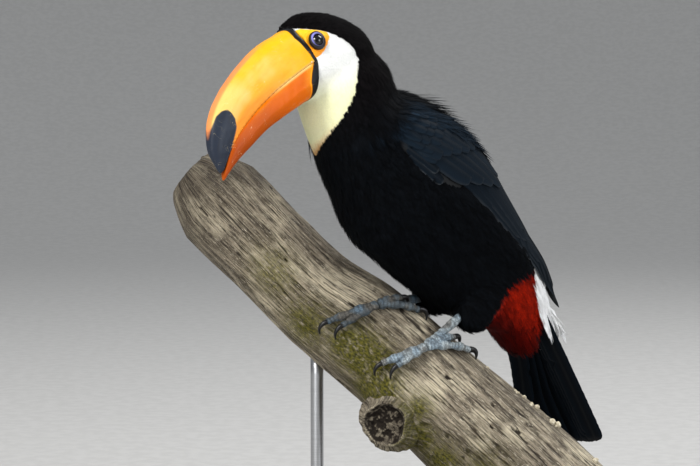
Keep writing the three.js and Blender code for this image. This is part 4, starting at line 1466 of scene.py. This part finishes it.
# The lids' section, as how far out from the eye's middle and how far up each point is.
LID_SECTION = [
    (4.5, -0.9), (4.0, 0.5), (3.85, 1.1), (3.95, 1.45), (4.25, 1.65), (4.8, 1.65), (5.3, 1.5),
    (5.7, 1.25), (5.95, 1.1), (6.15, 1.1), (6.4, 0.9), (6.55, 0.4), (6.7, -0.3), (6.8, -1.4), (5.8, -2.0),
]


def eye_place(side):
    """The eye's middle, the way it looks, and its forward and upward directions, in the head's frame."""
    centre = np.array([EYE["x"], side * EYE["y"], EYE["z"]])
    look = unit(np.array([EYE_AXIS[0], side * EYE_AXIS[1], EYE_AXIS[2]]))
    forward = unit(np.array([1.0, 0, 0]) - look * look[0])
    return centre, look, forward, np.cross(look, forward) * -side


def eyeball(name, side):
    """A glossy dark ball: black pupil, dark brown iris with fine spokes, slightly bulged over the pupil."""
    centre, look, forward, upward = eye_place(side)
    polar = np.linspace(0.02, pi - 0.02, BALL["rows"])[:, None]
    turn = full_turn(BALL["columns"])[None]
    bulge = 1 + 0.035 * bell(polar, 0.42)
    out, deep = np.sin(polar) * bulge, np.cos(polar) * bulge * np.ones_like(turn)
    ball = (out * np.cos(turn))[..., None] * forward + (out * np.sin(turn))[..., None] * upward
    grid = centre - look * BALL["sunk"] + (ball + deep[..., None] * look) * BALL["radius"]
    radius = np.sin(polar) * BALL["radius"] * np.ones_like(turn)
    spokes = noise_at(61, np.cos(turn) * 9, np.sin(turn) * 9, radius * 0.6)
    iris = mix(srgb(8, 6, 7), srgb(22, 15, 14), smooth(-0.6, 0.8, spokes))
    white = srgb(14, 14, 26), smooth(3.8, 4.3, radius)
    return tube(name, to_world(HEAD, grid), painted(srgb(2, 2, 3), (iris, smooth(3.1, 3.4, radius)), white))


def eye_ring(name, side):
    """The lids: a violet-blue ring with fine creases, painted lighter and wider on its upper front as painted
    light, inside a black rim that meets the bare skin.
    """
    centre, look, forward, upward = eye_place(side)
    rows, columns = LID["rows"], LID["columns"]
    section = np.array(LID_SECTION + LID_SECTION[:1])
    run = np.concatenate([[0], np.cumsum(np.linalg.norm(np.diff(section, axis=0), axis=1))])
    at = np.linspace(0, run[-1], rows, endpoint=False)
    radius, height = (np.interp(at, run, section[:, axis])[:, None] for axis in (0, 1))
    turn = full_turn(columns)[None]
    folds = 0.10 * np.sin(radius * 9 + 0.8 * noise_at(71, np.cos(turn) * 3, np.sin(turn) * 3))
    folds = folds * smooth(4.1, 4.5, radius) * smooth(5.7, 5.3, radius)
    pleats = 0.12 * noise_at(72, np.cos(turn) * 14, np.sin(turn) * 14) * smooth(5.5, 6.2, radius)
    corner = 0.21 * bell(np.sin(turn), 0.35) * (np.cos(turn) > 0)
    inner = radius - corner * smooth(4.9, 4.0, radius)
    out, tall = inner * np.cos(turn), inner * np.sin(turn) * LID["tall"]
    rise = height + folds + pleats - 0.009 * out**2
    grid = centre + out[..., None] * forward + tall[..., None] * upward + rise[..., None] * look
    # Painted light on the violet ring: brighter and wider toward the upper front, darker and thinner
    # elsewhere.
    lit = (0.5 + 0.5 * np.cos(turn - 0.9)) ** 2
    violet = mix(srgb(32, 33, 56), srgb(132, 130, 210), lit * np.ones((rows, 1)))
    colours = mix(srgb(10, 9, 18), violet, smooth(4.15, 4.5, radius))
    colours = mix(srgb(10, 9, 15), colours, smooth(-0.2, 0.2, LID["violet"] + 0.85 * lit - radius))
    faces = strip_faces(rows, columns, around=True)
    last = (rows - 1) * columns
    following = [(column + 1) % columns for column in range(columns)]
    faces += [(last + column, last + after, after, column) for column, after in enumerate(following)]
    return outwards(make(name, to_world(HEAD, grid).reshape(-1, 3), faces, colours.reshape(-1, 3)))


# ---- legs ----

PERCH_END = {"above": -235.0, "below": 207.0}
PERCH_RADIUS = [40, 42, 41, 42, 46, 46, 47, 48.5, 49.5, 49.5]
PERCH_SAG = [-1, 2, 4.5, 6.5, 2, 0, 0, 0, 0, 0]
# The branch's slow swells: how many round it, the pitch along it and how strong.
SWELLS = [(2, 70.0, 0.022), (3, -41.0, 0.014)]
WORN = {"length": 34.0, "least": 0.5}
# Hips and ankles are in the bird's frame, feet and toes' ends as (along, degrees round) on the branch.
LEGS = {
    "left": {
        "hip": (-30, 25, 262), "ankle": (0, 23, 224), "foot": (15, 50),
        "ends": [(8, 82), (-3, 90), (43, 14), (26, 16)], "colour": srgb(158, 168, 172),
    },
    "right": {
        # The far leg's colour is painted darker than the near one's, a painted shade.
        "hip": (-16, -20, 268), "ankle": (8, -14, 236), "foot": (-38, 48),
        "ends": [(-48, 86), (-60, 92), (-10, 20), (-28, 24)], "colour": srgb(78, 88, 94),
    },
}
# The shares along a toe at which it follows the bark, and its rows.
TOE_STOPS, TOE_ROWS = (0, 0.35, 0.7, 1.0), 96
TOE_NAMES = ("front_{}_1", "front_{}_2", "hind_{}_1", "hind_{}_2")
# A claw's length, and how hard its point is drawn in to the bark.
CLAW = {"long": 12.0, "press": 0.45}


def perch_point(along, angle, height=0.0):
    """A point on the branch: so far along it, so many radians from its top, and so high over the bark."""
    share = (along - PERCH_END["above"]) / (PERCH_END["below"] - PERCH_END["above"])
    swell = 1 + sum(size * np.sin(around * angle + along / pitch) for around, pitch, size in SWELLS)
    kept = np.sqrt(np.clip((along - PERCH_END["above"]) / WORN["length"], 0, 1))
    radius = through(PERCH_RADIUS, share) * swell * lerp(WORN["least"], 1, kept) + height
    down = through(PERCH_SAG, share)
    return np.stack([along + 0 * radius, -np.sin(angle) * radius, np.cos(angle) * radius - down], -1)


def limb(path, upwards, size, columns):
    """A grid of rings along a path: size(angles) gives each ring's reach in millimetres, upwards is 0."""
    along = unit(np.gradient(path, axis=0))
    sideways = unit(np.cross(upwards, along))
    angles = full_turn(columns)
    reach = (size(angles) * MM)[..., None]
    up = np.cos(angles)[:, None] * np.cross(along, sideways)[:, None]
    return path[:, None] + (up + np.sin(angles)[:, None] * sideways[:, None]) * reach


def round_ends(share, start, end):
    """1 along a shape, falling in a quarter circle over a share of it at each end."""
    opening = np.sqrt(1 - (1 - np.clip(share / start, 0, 1)) ** 2)
    return opening * np.sqrt(1 - (1 - np.clip((1 - share) / end, 0, 1)) ** 2)


def scutes(millimetres, pitch, deep=1.0):
    """Overlapping plates along a limb: each rises to its far edge and drops to the next."""
    place = (millimetres / pitch) % 1.0
    return deep * (smooth(0, 0.75, place) - smooth(0.8, 1.0, place))[:, None]


def add_limb(heap, grid, colour, crease):
    """Adds a closed limb with painted shade in its creases, and brown and blue stains."""
    stain = noise(grid * 150, 71)
    brown, blue = 0.6 * smooth(0.1, 0.5, stain), 0.45 * smooth(-0.05, -0.5, stain)
    worn = painted(colour, (srgb(92, 80, 62), brown), (srgb(92, 122, 146), blue))
    # Painted shade: darker in the creases between the plates.
    shade = np.clip(0.6 + 0.5 * crease, 0.35, 1.15)[..., None]
    heap.add_tube(grid, colour=with_ends(np.clip(shade * worn, 0, 1), 3))


def shank(heap, leg):
    """The bare tarsus from inside the thigh to the foot: broad plates in front, small scales behind."""
    hip, ankle = np.array(leg["hip"], float), np.array(leg["ankle"], float)
    foot = perch_point(np.float64(leg["foot"][0]), radians(leg["foot"][1]), 4.8)
    start, end = to_world(BIRD, lerp(ankle, hip, 0.25)), to_world(PERCH, foot)
    share = np.linspace(0, 1, 110)
    path = lerp(start, end, share[:, None])
    length = np.linalg.norm(end - start) / MM
    forward = np.broadcast_to(turn_world(BIRD, (1.0, 0.0, 0.2)), path.shape)

    def size(angles):
        knobs = 1.5 * bell(1 - share, 0.16) + 0.5 * bell(share - 0.32, 0.08)
        base = ((3.5 + knobs) * round_ends(share, 0.05, 0.08))[:, None]
        front = np.clip(np.cos(angles), 0, 1) ** 0.5
        plates = scutes(share * length, 5.2, 0.42) * front
        back = scutes(share * length + 1.3, 3.0, 0.25) * (1 - front)
        return base * (1 - 0.12 * np.abs(np.sin(angles))) + plates + back

    add_limb(heap, limb(path, forward, size, 40), leg["colour"], scutes(share * length, 5.2))


def toe_line(leg, end):
    """Shares along a toe, and the middle of it over the bark at each."""
    stops = []
    for share in TOE_STOPS:
        along, angle = (lerp(leg["foot"][axis], end[axis], share) for axis in (0, 1))
        stops.append(perch_point(np.float64(along), radians(angle), 5.0 + 1.6 * sin(pi * share)))
    share = np.linspace(0, 1, TOE_ROWS)
    return share, through(stops, share)


def toe(heap, leg, end):
    """A toe that follows the bark: ringed plates on top, round pads under each joint."""
    share, line = toe_line(leg, end)
    path = to_world(PERCH, line)
    length = np.linalg.norm(np.diff(path, axis=0), axis=1).sum() / MM
    upwards = turn_world(PERCH, unit(line * np.array([0, 1, 1])))
    ringed = share * length
    ringed = ringed + 1.3 * noise_at(72, ringed / 4, length)

    def size(angles):
        base = lerp(3.8, 2.6, share) * (1 + 0.17 * np.cos(6 * pi * share)) * round_ends(share, 0.1, 0.12)
        plates = scutes(ringed, 3.3, 0.45) * np.clip(np.cos(angles), 0, 1) ** 0.6
        pads = 0.45 * np.maximum(np.cos(6 * pi * share + 0.4), 0)[:, None] * np.clip(-np.cos(angles), 0, 1)
        return base[:, None] + plates + pads

    add_limb(heap, limb(path, upwards, size, 32), leg["colour"], scutes(ringed, 3.3))


def claw(heap, leg, end):
    """A stout claw from the last joint of a toe, hooked down until it rests on the bark."""
    _, line = toe_line(leg, end)
    ahead = unit(line[-1] - line[-3])
    root = line[-6]
    up = unit(root * np.array([0, 1, 1]))
    down = np.array(PERCH.to_3x3().transposed() @ Vector((0, 0, -1)))
    down = down - up * min(down @ up + CLAW["press"], 0)
    knuckle = root + (ahead * 0.75 + up * 0.42) * CLAW["long"]
    point = root + (ahead * 0.55 + down * 0.75) * CLAW["long"]
    share = np.linspace(0, 1, 44)
    t = share[:, None]
    path = to_world(PERCH, root * (1 - t) ** 2 + knuckle * 2 * t * (1 - t) + point * t**2)

    def size(angles):
        base = (2.5 * (1 - share) ** 0.7 + 0.22) * round_ends(share, 0.05, 0.02)
        groove = 1 - 0.08 * bell(np.sin(angles) ** 2 - 1, 0.1)
        return base[:, None] * np.hypot(np.cos(angles) * 1.15, np.sin(angles) * 0.85) * groove

    upwards = np.broadcast_to(turn_world(PERCH, up), path.shape)
    heap.add_tube(limb(path, upwards, size, 24), colour=srgb(20, 21, 25))


def legs(finish, horn):
    for side, leg in LEGS.items():
        flesh, claws = Heap(), Heap()
        shank(flesh, leg)
        for end in leg["ends"]:
            toe(flesh, leg, end)
            claw(claws, leg, end)
        names = [name.format(side) for name in TOE_NAMES]
        toes, tips = (["{}_{}".format(kind, name) for name in names] for kind in ("toe", "claw"))
        finish_piece(outwards(flesh.piece("leg_" + side)), finish, "leg_skin", "tarsus_" + side, *toes)
        finish_piece(outwards(claws.piece("claws_" + side)), horn, "claw", *tips)


# ---- branch ----

BRANCH_ROWS, BRANCH_ROUND, BRANCH_REACH = 320, 250, 46.0
SEAM = radians(-125)
KNOT = {"root": (35, -6, -28), "end": (33, -60, -33), "radius": 18.0, "along": 33.0, "angle": radians(118)}
# Long cracks: where round the branch, in degrees, from and to along it, how wide and how deep in millimetres.
CRACKS = [
    (62, -150, -20, 1.4, 3.0), (99, -228, -70, 1.6, 3.5), (33, -60, 90, 1.2, 2.4), (78, 20, 170, 1.2, 2.4),
    (52, 60, 205, 1.1, 2.2), (-40, -200, 20, 1.8, 4.0), (-95, -60, 190, 1.6, 3.4), (150, -150, 40, 1.7, 3.6),
    (12, -190, -90, 1.3, 2.6), (-160, 40, 205, 1.5, 3.0), (112, 75, 200, 1.3, 2.6), (86, -120, -60, 1.0, 2.0),
]
# How many short hair cracks there are.
HAIR_CRACKS = 60
# Worm holes: along the branch, degrees round it, and how wide.
WORM_HOLES = [
    (45, 55, 2.0), (88, 44, 1.5), (118, 47, 1.9), (150, 62, 1.8), (99, 63, 1.2),
    (-120, 70, 1.4), (20, -60, 1.8),
]
# More moss: along the branch, degrees round it, how wide and how thick.
MOSS = [
    (10, 118, 22, 1.0), (58, 126, 16, 0.9), (44, 98, 13, 0.6), (88, 131, 20, 0.7), (-72, 112, 24, 0.6),
    (-120, 92, 22, 0.45), (120, 112, 26, 0.4),
]
# Where the crusty knobs sit along the branch, how many there are and about how big each is.
CRUST = [(62, 2, 0.9), (96, 3, 1.3), (101, 2, 1.7), (116, 2, 1.9), (136, 4, 2.5), (181, 3, 2.4)]


def bark(along, angle):
    """The branch's relief in millimetres, and how whole, mossy and rotten it is, at places on it; what is not
    whole is painted dark, as painted shade in its furrows, pits, cracks and holes.
    """
    from_knot = (angle - KNOT["angle"]) * BRANCH_REACH
    near_knot = bell(along - KNOT["along"], 34) * bell(from_knot, 30)
    drift = 0.02 * noise_at(81, along / 55, np.cos(angle) * 2, np.sin(angle) * 2)
    twist = angle + 0.25 * near_knot * np.sign(from_knot + 1e-9) + drift + along / 900

    def grain(seed, length, width):
        around = BRANCH_REACH / width
        return noise_at(seed, along / length, np.cos(twist) * around, np.sin(twist) * around)

    fine, cords = grain(82, 26, 1.9), grain(83, 60, 5.5)
    pits = smooth(0.45, 0.8, grain(85, 7, 3.2))
    relief = 0.42 * fine + 0.85 * cords + 1.5 * grain(84, 95, 18) - 0.9 * pits * smooth(-0.2, 0.4, cords)
    # Where the wood opens, in furrows, pits, cracks and holes, its finish paints it darker: painted shade.
    opened_and_shaded = 0.55 * smooth(-0.25, -0.75, cords) + 0.5 * smooth(-0.3, -0.8, fine) + 0.55 * pits
    for index, (place, start, end, wide, deep) in enumerate(CRACKS):
        middle = radians(place) + 0.05 * noise_at(90 + index, along / 38, index)
        apart = np.abs((angle - middle + pi) % (2 * pi) - pi) * BRANCH_REACH
        length = smooth(start, start + 30, along) * smooth(end, end - 30, along)
        split = bell(apart, 0.6 * wide) * length * smooth(-0.5, 0.15, noise_at(120, along / 9, 3 * index))
        relief, opened_and_shaded = relief - deep * split, opened_and_shaded + 1.3 * split
    draw = np.random.default_rng(SEED)
    for _ in range(HAIR_CRACKS):
        start, turn, span = draw.uniform(-225, 170), draw.uniform(-20, 150), draw.uniform(22, 70)
        apart = (angle - radians(turn) - 0.03 * noise_at(121, along / 20, turn)) * BRANCH_REACH
        split = bell(apart, 0.5) * smooth(0, 8, along - start) * smooth(span, span - 12, along - start)
        relief, opened_and_shaded = relief - 1.1 * split, opened_and_shaded + split
    for place, turn, size in WORM_HOLES:
        hole = np.hypot((along - place) * 0.7, (angle - radians(turn)) * BRANCH_REACH) / size
        pit = smooth(1.25, 0.75, hole)
        relief, opened_and_shaded = relief - 3.2 * pit, opened_and_shaded + 1.4 * pit
    collar = np.maximum(np.hypot(along - KNOT["along"], from_knot) - 16, 0)
    relief = relief + 7.5 * bell(collar, 13)
    moss = bell(along + 20, 34) * bell(angle - radians(98), radians(25))
    for place, turn, wide, share in MOSS:
        spot = bell(along - place, wide) * bell((angle - radians(turn)) * BRANCH_REACH, wide)
        moss = np.maximum(moss, share * spot)
    return relief, 1 - np.clip(opened_and_shaded, 0, 1), np.clip(moss * 1.7, 0, 1), smooth(-130, -235, along) * 0.6


def wooden(name, grid, u, v, whole, moss, rot):
    """A closed piece of wood on the branch, with its grain's map and how whole, mossy and rotten it is."""
    piece = tube(name, to_world(PERCH, grid), grain=np.stack(np.broadcast_arrays(u, v), -1))
    set_numbers(piece.data, ridge=with_ends(whole), moss=with_ends(moss), rot=with_ends(rot))
    return piece


def branch():
    """The bare branch: furrowed along its grain, swollen at the knot, worn at one end, sawn at the other."""
    along = np.linspace(PERCH_END["above"], PERCH_END["below"], BRANCH_ROWS)[:, None]
    along = along * np.ones((1, BRANCH_ROUND))
    angle = (SEAM + full_turn(BRANCH_ROUND))[None] * np.ones((BRANCH_ROWS, 1))
    relief, whole, moss, rot = bark(along, (angle + pi) % (2 * pi) - pi)
    ending = smooth(PERCH_END["below"], PERCH_END["below"] - 6, along)
    grid = perch_point(along, angle, relief * (0.3 + 0.7 * ending))
    shrink = np.linspace(1, 0, 24)[1:-1]
    count = len(shrink)

    def end_rings(ring, rough, ripple, flip):
        """The rings that close one end, from its edge inwards."""
        middle, rings = ring.mean(axis=0), []
        for share in shrink:
            inner = middle + (ring - middle) * share
            grown = noise(inner / 5, 87) * rough * smooth(1, 0.85, share) + ripple * sin(share * 90)
            inner[:, 0] += flip * (grown - 0.4 * rough * smooth(1, 0.6, share))
            rings.append(inner)
        return rings

    grid = np.concatenate([end_rings(grid[0], 2.4, 0, -1)[::-1], grid, end_rings(grid[-1], 0.35, 0.25, 1)])
    rings = (0.5 + 0.5 * np.sin(shrink * 90))[:, None] * np.ones((1, BRANCH_ROUND))
    whole = np.concatenate([0.4 + 0 * rings, whole, 0.3 + 0.7 * rings])
    moss = np.concatenate([0 * rings, moss, 0 * rings])
    rot = np.concatenate([0.6 + 0 * rings, rot, 0 * rings])
    between = np.linspace(0, 1, BRANCH_ROWS)
    u = np.concatenate([np.linspace(-0.1, 0, count), between, np.linspace(1, 1.1, count)])
    v = np.arange(BRANCH_ROUND)[None] / BRANCH_ROUND
    piece = wooden("branch", grid, u[:, None], v, whole, moss, rot)
    join_seam(piece, "grain")
    return piece


def join_seam(piece, title):
    """Carries a map on past its edge on the faces that close a tube, so it isn't squeezed back across."""
    layer = piece.data.uv_layers[title].data
    values = np.zeros(len(layer) * 2, np.float32)
    layer.foreach_get("uv", values)
    values = values.reshape(-1, 2)
    for face in piece.data.polygons:
        part = slice(face.loop_start, face.loop_start + face.loop_total)
        v = values[part, 1]
        if v.max() - v.min() > 0.5:
            values[part, 1] = np.where(v < 0.5, v + 1, v)
    layer.foreach_set("uv", values.ravel())


def knot():
    """A sawn-off side branch: a raised collar of grain, a rim, and a rotten hollow heart."""
    root, end = np.array(KNOT["root"], float), np.array(KNOT["end"], float)
    direction = unit(end - root)
    across = unit(np.cross((1.0, 0, 0), direction))
    along = np.cross(direction, across)
    columns = 150
    turn = full_turn(columns)
    outward = np.cos(turn)[:, None] * along + np.sin(turn)[:, None] * across
    lobes = KNOT["radius"] * (1 + 0.05 * np.sin(3 * turn) + 0.03 * np.sin(5 * turn + 1))
    length = np.linalg.norm(end - root)
    # Each ring's radius, height, whether it is on the sawn face, and how rotten it is.
    rows = []
    for share in np.linspace(0.35, 1, 26):
        flare = 9.0 * exp(-max((share * length - 36) / 6.5, 0))
        rows.append((lobes + flare, share * length, 0.0, 0.0))
    for share in np.linspace(1, 0.03, 36)[1:]:
        rows.append((lobes * share, length - 7.0 * smooth(0.96, 0.7, share), 1.0, smooth(0.99, 0.92, share)))
    grid, rot, whole, moss = [], [], [], []
    for radius, height, inside, rotten in rows:
        ring = root + direction * height + radius[:, None] * outward
        lumps = rotten * (layers(ring / 4.2, 101) * 2.6 + noise(ring / 1.6, 103) * 0.9)
        groove = noise_at(104, height / 20, np.cos(turn) * 11, np.sin(turn) * 11) * 0.7 * (1 - inside)
        grid.append(ring + direction * lumps[:, None] + outward * groove[:, None])
        # The rotten face's hollows and the collar's grooves are painted darker, as painted shade over the
        # heart's own rot.
        decay = rotten * lerp(0.35, 1.0, smooth(0.5, 0.0, lumps))
        rot.append(np.maximum(decay, 0.35 * (1 - rotten) * smooth(0.5, -0.5, groove)))
        cracked_and_shaded = 0.9 * rotten * smooth(0.2, -0.9, lumps) + 0.4 * smooth(-0.1, -0.5, groove)
        whole.append(np.clip(1 - cracked_and_shaded, 0, 1))
        moss.append((1 - rotten) * smooth(-0.1, 0.8, np.sin(turn + 2.2)) * 0.8)
    u = 0.3 + 0.1 * np.arange(len(rows))[:, None] / 26
    v = np.arange(columns)[None] / columns * 0.45
    return wooden("knot_stub", np.array(grid), u, v, whole, moss, rot)


def crust_lumps():
    """Small pale crusty knobs in clusters along the branch's upper edge."""
    heap = Heap()
    rows, columns = 12, 16
    polar, turn = np.linspace(0.15, pi - 0.15, rows)[:, None], full_turn(columns)[None]
    ball = np.sin(polar) * np.cos(turn), np.sin(polar) * np.sin(turn), np.cos(polar) * np.ones_like(turn)
    ball = np.stack(ball, -1)
    for place, count, about in CRUST:
        for _ in range(count):
            along = place + random.normal(0, 1.1) * about
            angle = radians(random.normal(1, 1.2) * about)
            size = random.uniform(0.7, 1.25) * about
            centre = perch_point(np.float64(along), angle, size * 0.35)
            lumpy = 1 + 0.3 * noise(ball * 1.7 + random.uniform(0, 40), 110)
            heap.add_tube(to_world(PERCH, centre + ball * size * lumpy[..., None]))
    return outwards(heap.piece("crust_lumps"))


# ---- display stand ----

# The base's moulded edge, as how far in from its side and how high each point is.
BASE_PROFILE = [
    (10, 0), (1.2, 0), (0.2, 0.9), (0, 2), (0, 7.6), (0.5, 8.6), (2.4, 9.0), (2.8, 9.6), (3.0, 11.2),
    (3.9, 13.2), (5.6, 14.8), (8.0, 15.7), (10.5, 16.0), (30, 16.0),
]
BASE_CORNER, CORNER_STEPS = 24.0, 24
# The turned collar at each rod's foot, as its radius and height.
COLLAR = [(9.5, 16.02), (10, 16.6), (10, 19.4), (9.4, 20), (6.3, 20.2)]
ROD_ROUND = 56


def node_box(node):
    """A node's lowest and highest corners, in millimetres."""
    return (np.array(corner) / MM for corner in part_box(node))


def stand_base():
    """A flat base with a moulded edge and round corners."""
    low, high = node_box("stand_base")
    middle, half = (low + high) / 2, (high - low) / 2
    corners = np.array([(1, 1), (-1, 1), (-1, -1), (1, -1)])
    sides = np.repeat(corners, CORNER_STEPS, axis=0)
    starts = np.repeat([0, 90, 180, 270], CORNER_STEPS)
    turn = np.radians(starts + np.tile(np.linspace(0, 90, CORNER_STEPS), 4))
    rows = []
    for inset, height in BASE_PROFILE:
        corner = max(BASE_CORNER - inset, 2)
        outline = sides * (half[:2] - inset - corner) + corner * np.column_stack([np.cos(turn), np.sin(turn)])
        rows.append(np.column_stack([middle[:2] + outline, np.full(len(outline), height)]))
    return tube("stand_base_plate", np.array(rows) * MM)


def stand_rods():
    """Two brushed rods, each in a turned collar."""
    heap = Heap()
    turn = full_turn(ROD_ROUND)
    for node in ("stand_rod_1", "stand_rod_2"):
        low, high = node_box(node)
        middle, radius = (low + high) / 2, (high[0] - low[0]) / 2
        profile = COLLAR + [(radius, 21.4)] + [(radius, height) for height in np.linspace(22, high[2], 12)]
        rings = []
        for wide, height in profile:
            x, y = middle[0] + wide * np.cos(turn), middle[1] + wide * np.sin(turn)
            rings.append(np.column_stack([x, y, height + 0 * turn]))
        heap.add_tube(np.array(rings) * MM)
    return outwards(heap.piece("stand_rods"))


# ---- stage ----

CAMERA = {"target": (-0.034, 0.0, 0.300), "away": 1.944, "rise": 4.0, "lens": 120.0}
# The floor, in metres: where it starts to turn up, how wide and high it ends, and how far below it lies.
FLOOR = {"flat": 3.4, "wide": 9.0, "high": 4.2, "below": 0.0004, "round": 96}
# Each light's place, where it points, its size, power and colour.
LIGHTS = {
    "key": ((-1.5, -1.9, 2.3), (0, 0, 0.3), 1.1, 76, (1.0, 0.985, 0.96)),
    "fill": ((2.2, -1.7, 1.0), (0, 0, 0.25), 1.6, 41, (0.94, 0.97, 1.0)),
    "top": ((1.2, 1.0, 2.3), (0, 0, 0.3), 1.3, 38, (1, 1, 1)),
    "bounce": ((-1.3, -2.2, 0.5), (0, 0, 0.35), 1.4, 19, (1, 1, 1)),
}


def stage():
    """A wide pale floor that turns up into the distance on every side, like a shallow bowl."""
    flat, turned_up = np.linspace(0.02, FLOOR["flat"], 18), np.linspace(3.6, FLOOR["wide"], 28)
    radii = np.concatenate([flat, turned_up])[:, None]
    columns = FLOOR["round"]
    turn = full_turn(columns)[None]
    up = np.clip((radii - FLOOR["flat"]) / (FLOOR["wide"] - FLOOR["flat"]), 0, 1) ** 2.2
    up = FLOOR["high"] * up - FLOOR["below"]
    grid = np.stack(np.broadcast_arrays(radii * np.cos(turn), radii * np.sin(turn), up), -1)
    faces = strip_faces(len(radii), columns, around=True)
    points = np.concatenate([grid.reshape(-1, 3), [[0, 0, -FLOOR["below"]]]])
    faces += [(len(points) - 1, column, (column + 1) % columns) for column in range(columns)]
    floor = make("floor", points, faces)
    paint = Finish("pale_floor", Roughness=0.75, Specular_IOR_Level=0.2)
    specks = paint.spread(paint.noise(paint.place(), 60, 4), 0.4, 0.6)
    paint.look(paint.blend(specks, srgb(186, 185, 183), srgb(192, 191, 189)), 0.75)
    floor.data.materials.append(paint.material)


def aim(item, at, towards):
    """Places a light or camera and points it."""
    item.location = at
    item.rotation_euler = (Vector(towards) - Vector(at)).to_track_quat("-Z", "Y").to_euler()


def studio():
    for name, (at, towards, size, power, colour) in LIGHTS.items():
        lamp = bpy.data.lights.new(name, "AREA")
        lamp.shape, lamp.size, lamp.energy, lamp.color = "DISK", size, power, colour
        aim(put(name, lamp), at, towards)
    scene = bpy.context.scene
    scene.world = bpy.data.worlds.new("studio")
    scene.world.use_nodes = True
    background = scene.world.node_tree.nodes["Background"]
    background.inputs["Color"].default_value = (*srgb(236, 240, 245), 1)
    background.inputs["Strength"].default_value = 0.5
    scene.view_settings.view_transform = "Standard"
    camera = put("camera", bpy.data.cameras.new("camera"))
    rise, target = radians(CAMERA["rise"]), Vector(CAMERA["target"])
    aim(camera, target + Vector((0, -cos(rise), sin(rise))) * CAMERA["away"], target)
    camera.data.lens, camera.data.sensor_width = CAMERA["lens"], 36.0
    scene.camera = camera


# ---- putting it together ----

stage()
studio()
finishes = {
    "dark": plumage_finish("dark_plumage", 0.6, 1.6, 0.05),
    "pale": plumage_finish("pale_plumage", 0.95, 1.03, 0.1),
    "skin": skin_finish(),
    "quill": quill_finish(),
    "horn": bill_finish(),
    "eye": eye_finish(),
    "lid": lid_finish(),
    "leg": leg_finish(),
    "wood": wood_finish(),
}
# Noise stretch and settings, its range, the dark and light colour, roughness, bump, and the shader's sockets.
TWO_TONE = {
    "claw": ("claw_horn", ((1, 1, 1), 700, 4), 0.4, 0.75, (5, 5, 7), (22, 21, 22), (0.28, 0.45), (0.2, 0.1),
             {"Specular_IOR_Level": 0.35, "Coat_Weight": 0.1, "Coat_Roughness": 0.25}),
    "lump": ("pale_crust", ((1, 1, 1), 420, 5), 0.35, 0.7, (150, 138, 112), (226, 218, 196), (0.6, 0.85),
             (0.6, 0.6), {"Specular_IOR_Level": 0.3}),
    "base": ("stained_base", ((4, 60, 60), 1.6, 6, 0.6, 0.6), 0.35, 0.7, (22, 19, 17), (52, 44, 38),
             (0.42, 0.3), (0.15, 0.15),
             {"Specular_IOR_Level": 0.45, "Coat_Weight": 0.25, "Coat_Roughness": 0.3}),
    "rod": ("brushed_rod", ((4, 4, 900), 3.0, 3), 0, 1, (150, 152, 155), (196, 197, 199), (0.28, 0.42),
            (0.1, 0.05), {"Metallic": 1.0}),
}
for title, (*settings, sockets) in TWO_TONE.items():
    finishes[title] = two_tone_finish(*settings, **sockets)

skin = bird_skin()
ground = Ground(skin)
coats = dress_bird(skin, finishes)
finish_piece(skin, finishes["skin"], "plumage_black", *FLESH)
for coat, finish, slot_name in coats:
    finish_piece(coat, finish, slot_name)
for side, sign in (("left", 1), ("right", -1)):
    finish_piece(folded_wing(ground, "wing_feathers_" + side, sign), finishes["quill"], "plumage_black")
    finish_piece(eyeball("eyeball_" + side, sign), finishes["eye"], "eye", "eye_" + side)
    finish_piece(eye_ring("eye_ring_" + side, sign), finishes["lid"], "eye")
finish_piece(tail_piece(), finishes["quill"], "plumage_black", "tail")
finish_piece(upper_bill(), finishes["horn"], "bill_upper", "bill_upper")
finish_piece(lower_bill(), finishes["horn"], "bill_lower", "bill_lower")
legs(finishes["leg"], finishes["claw"])
finish_piece(branch(), finishes["wood"], "wood", "perch")
finish_piece(knot(), finishes["wood"], "wood")
finish_piece(crust_lumps(), finishes["lump"], "wood")
finish_piece(stand_base(), finishes["base"], "stand_base", "stand_base")
finish_piece(stand_rods(), finishes["rod"], "stand_rod", "stand_rod_1", "stand_rod_2")
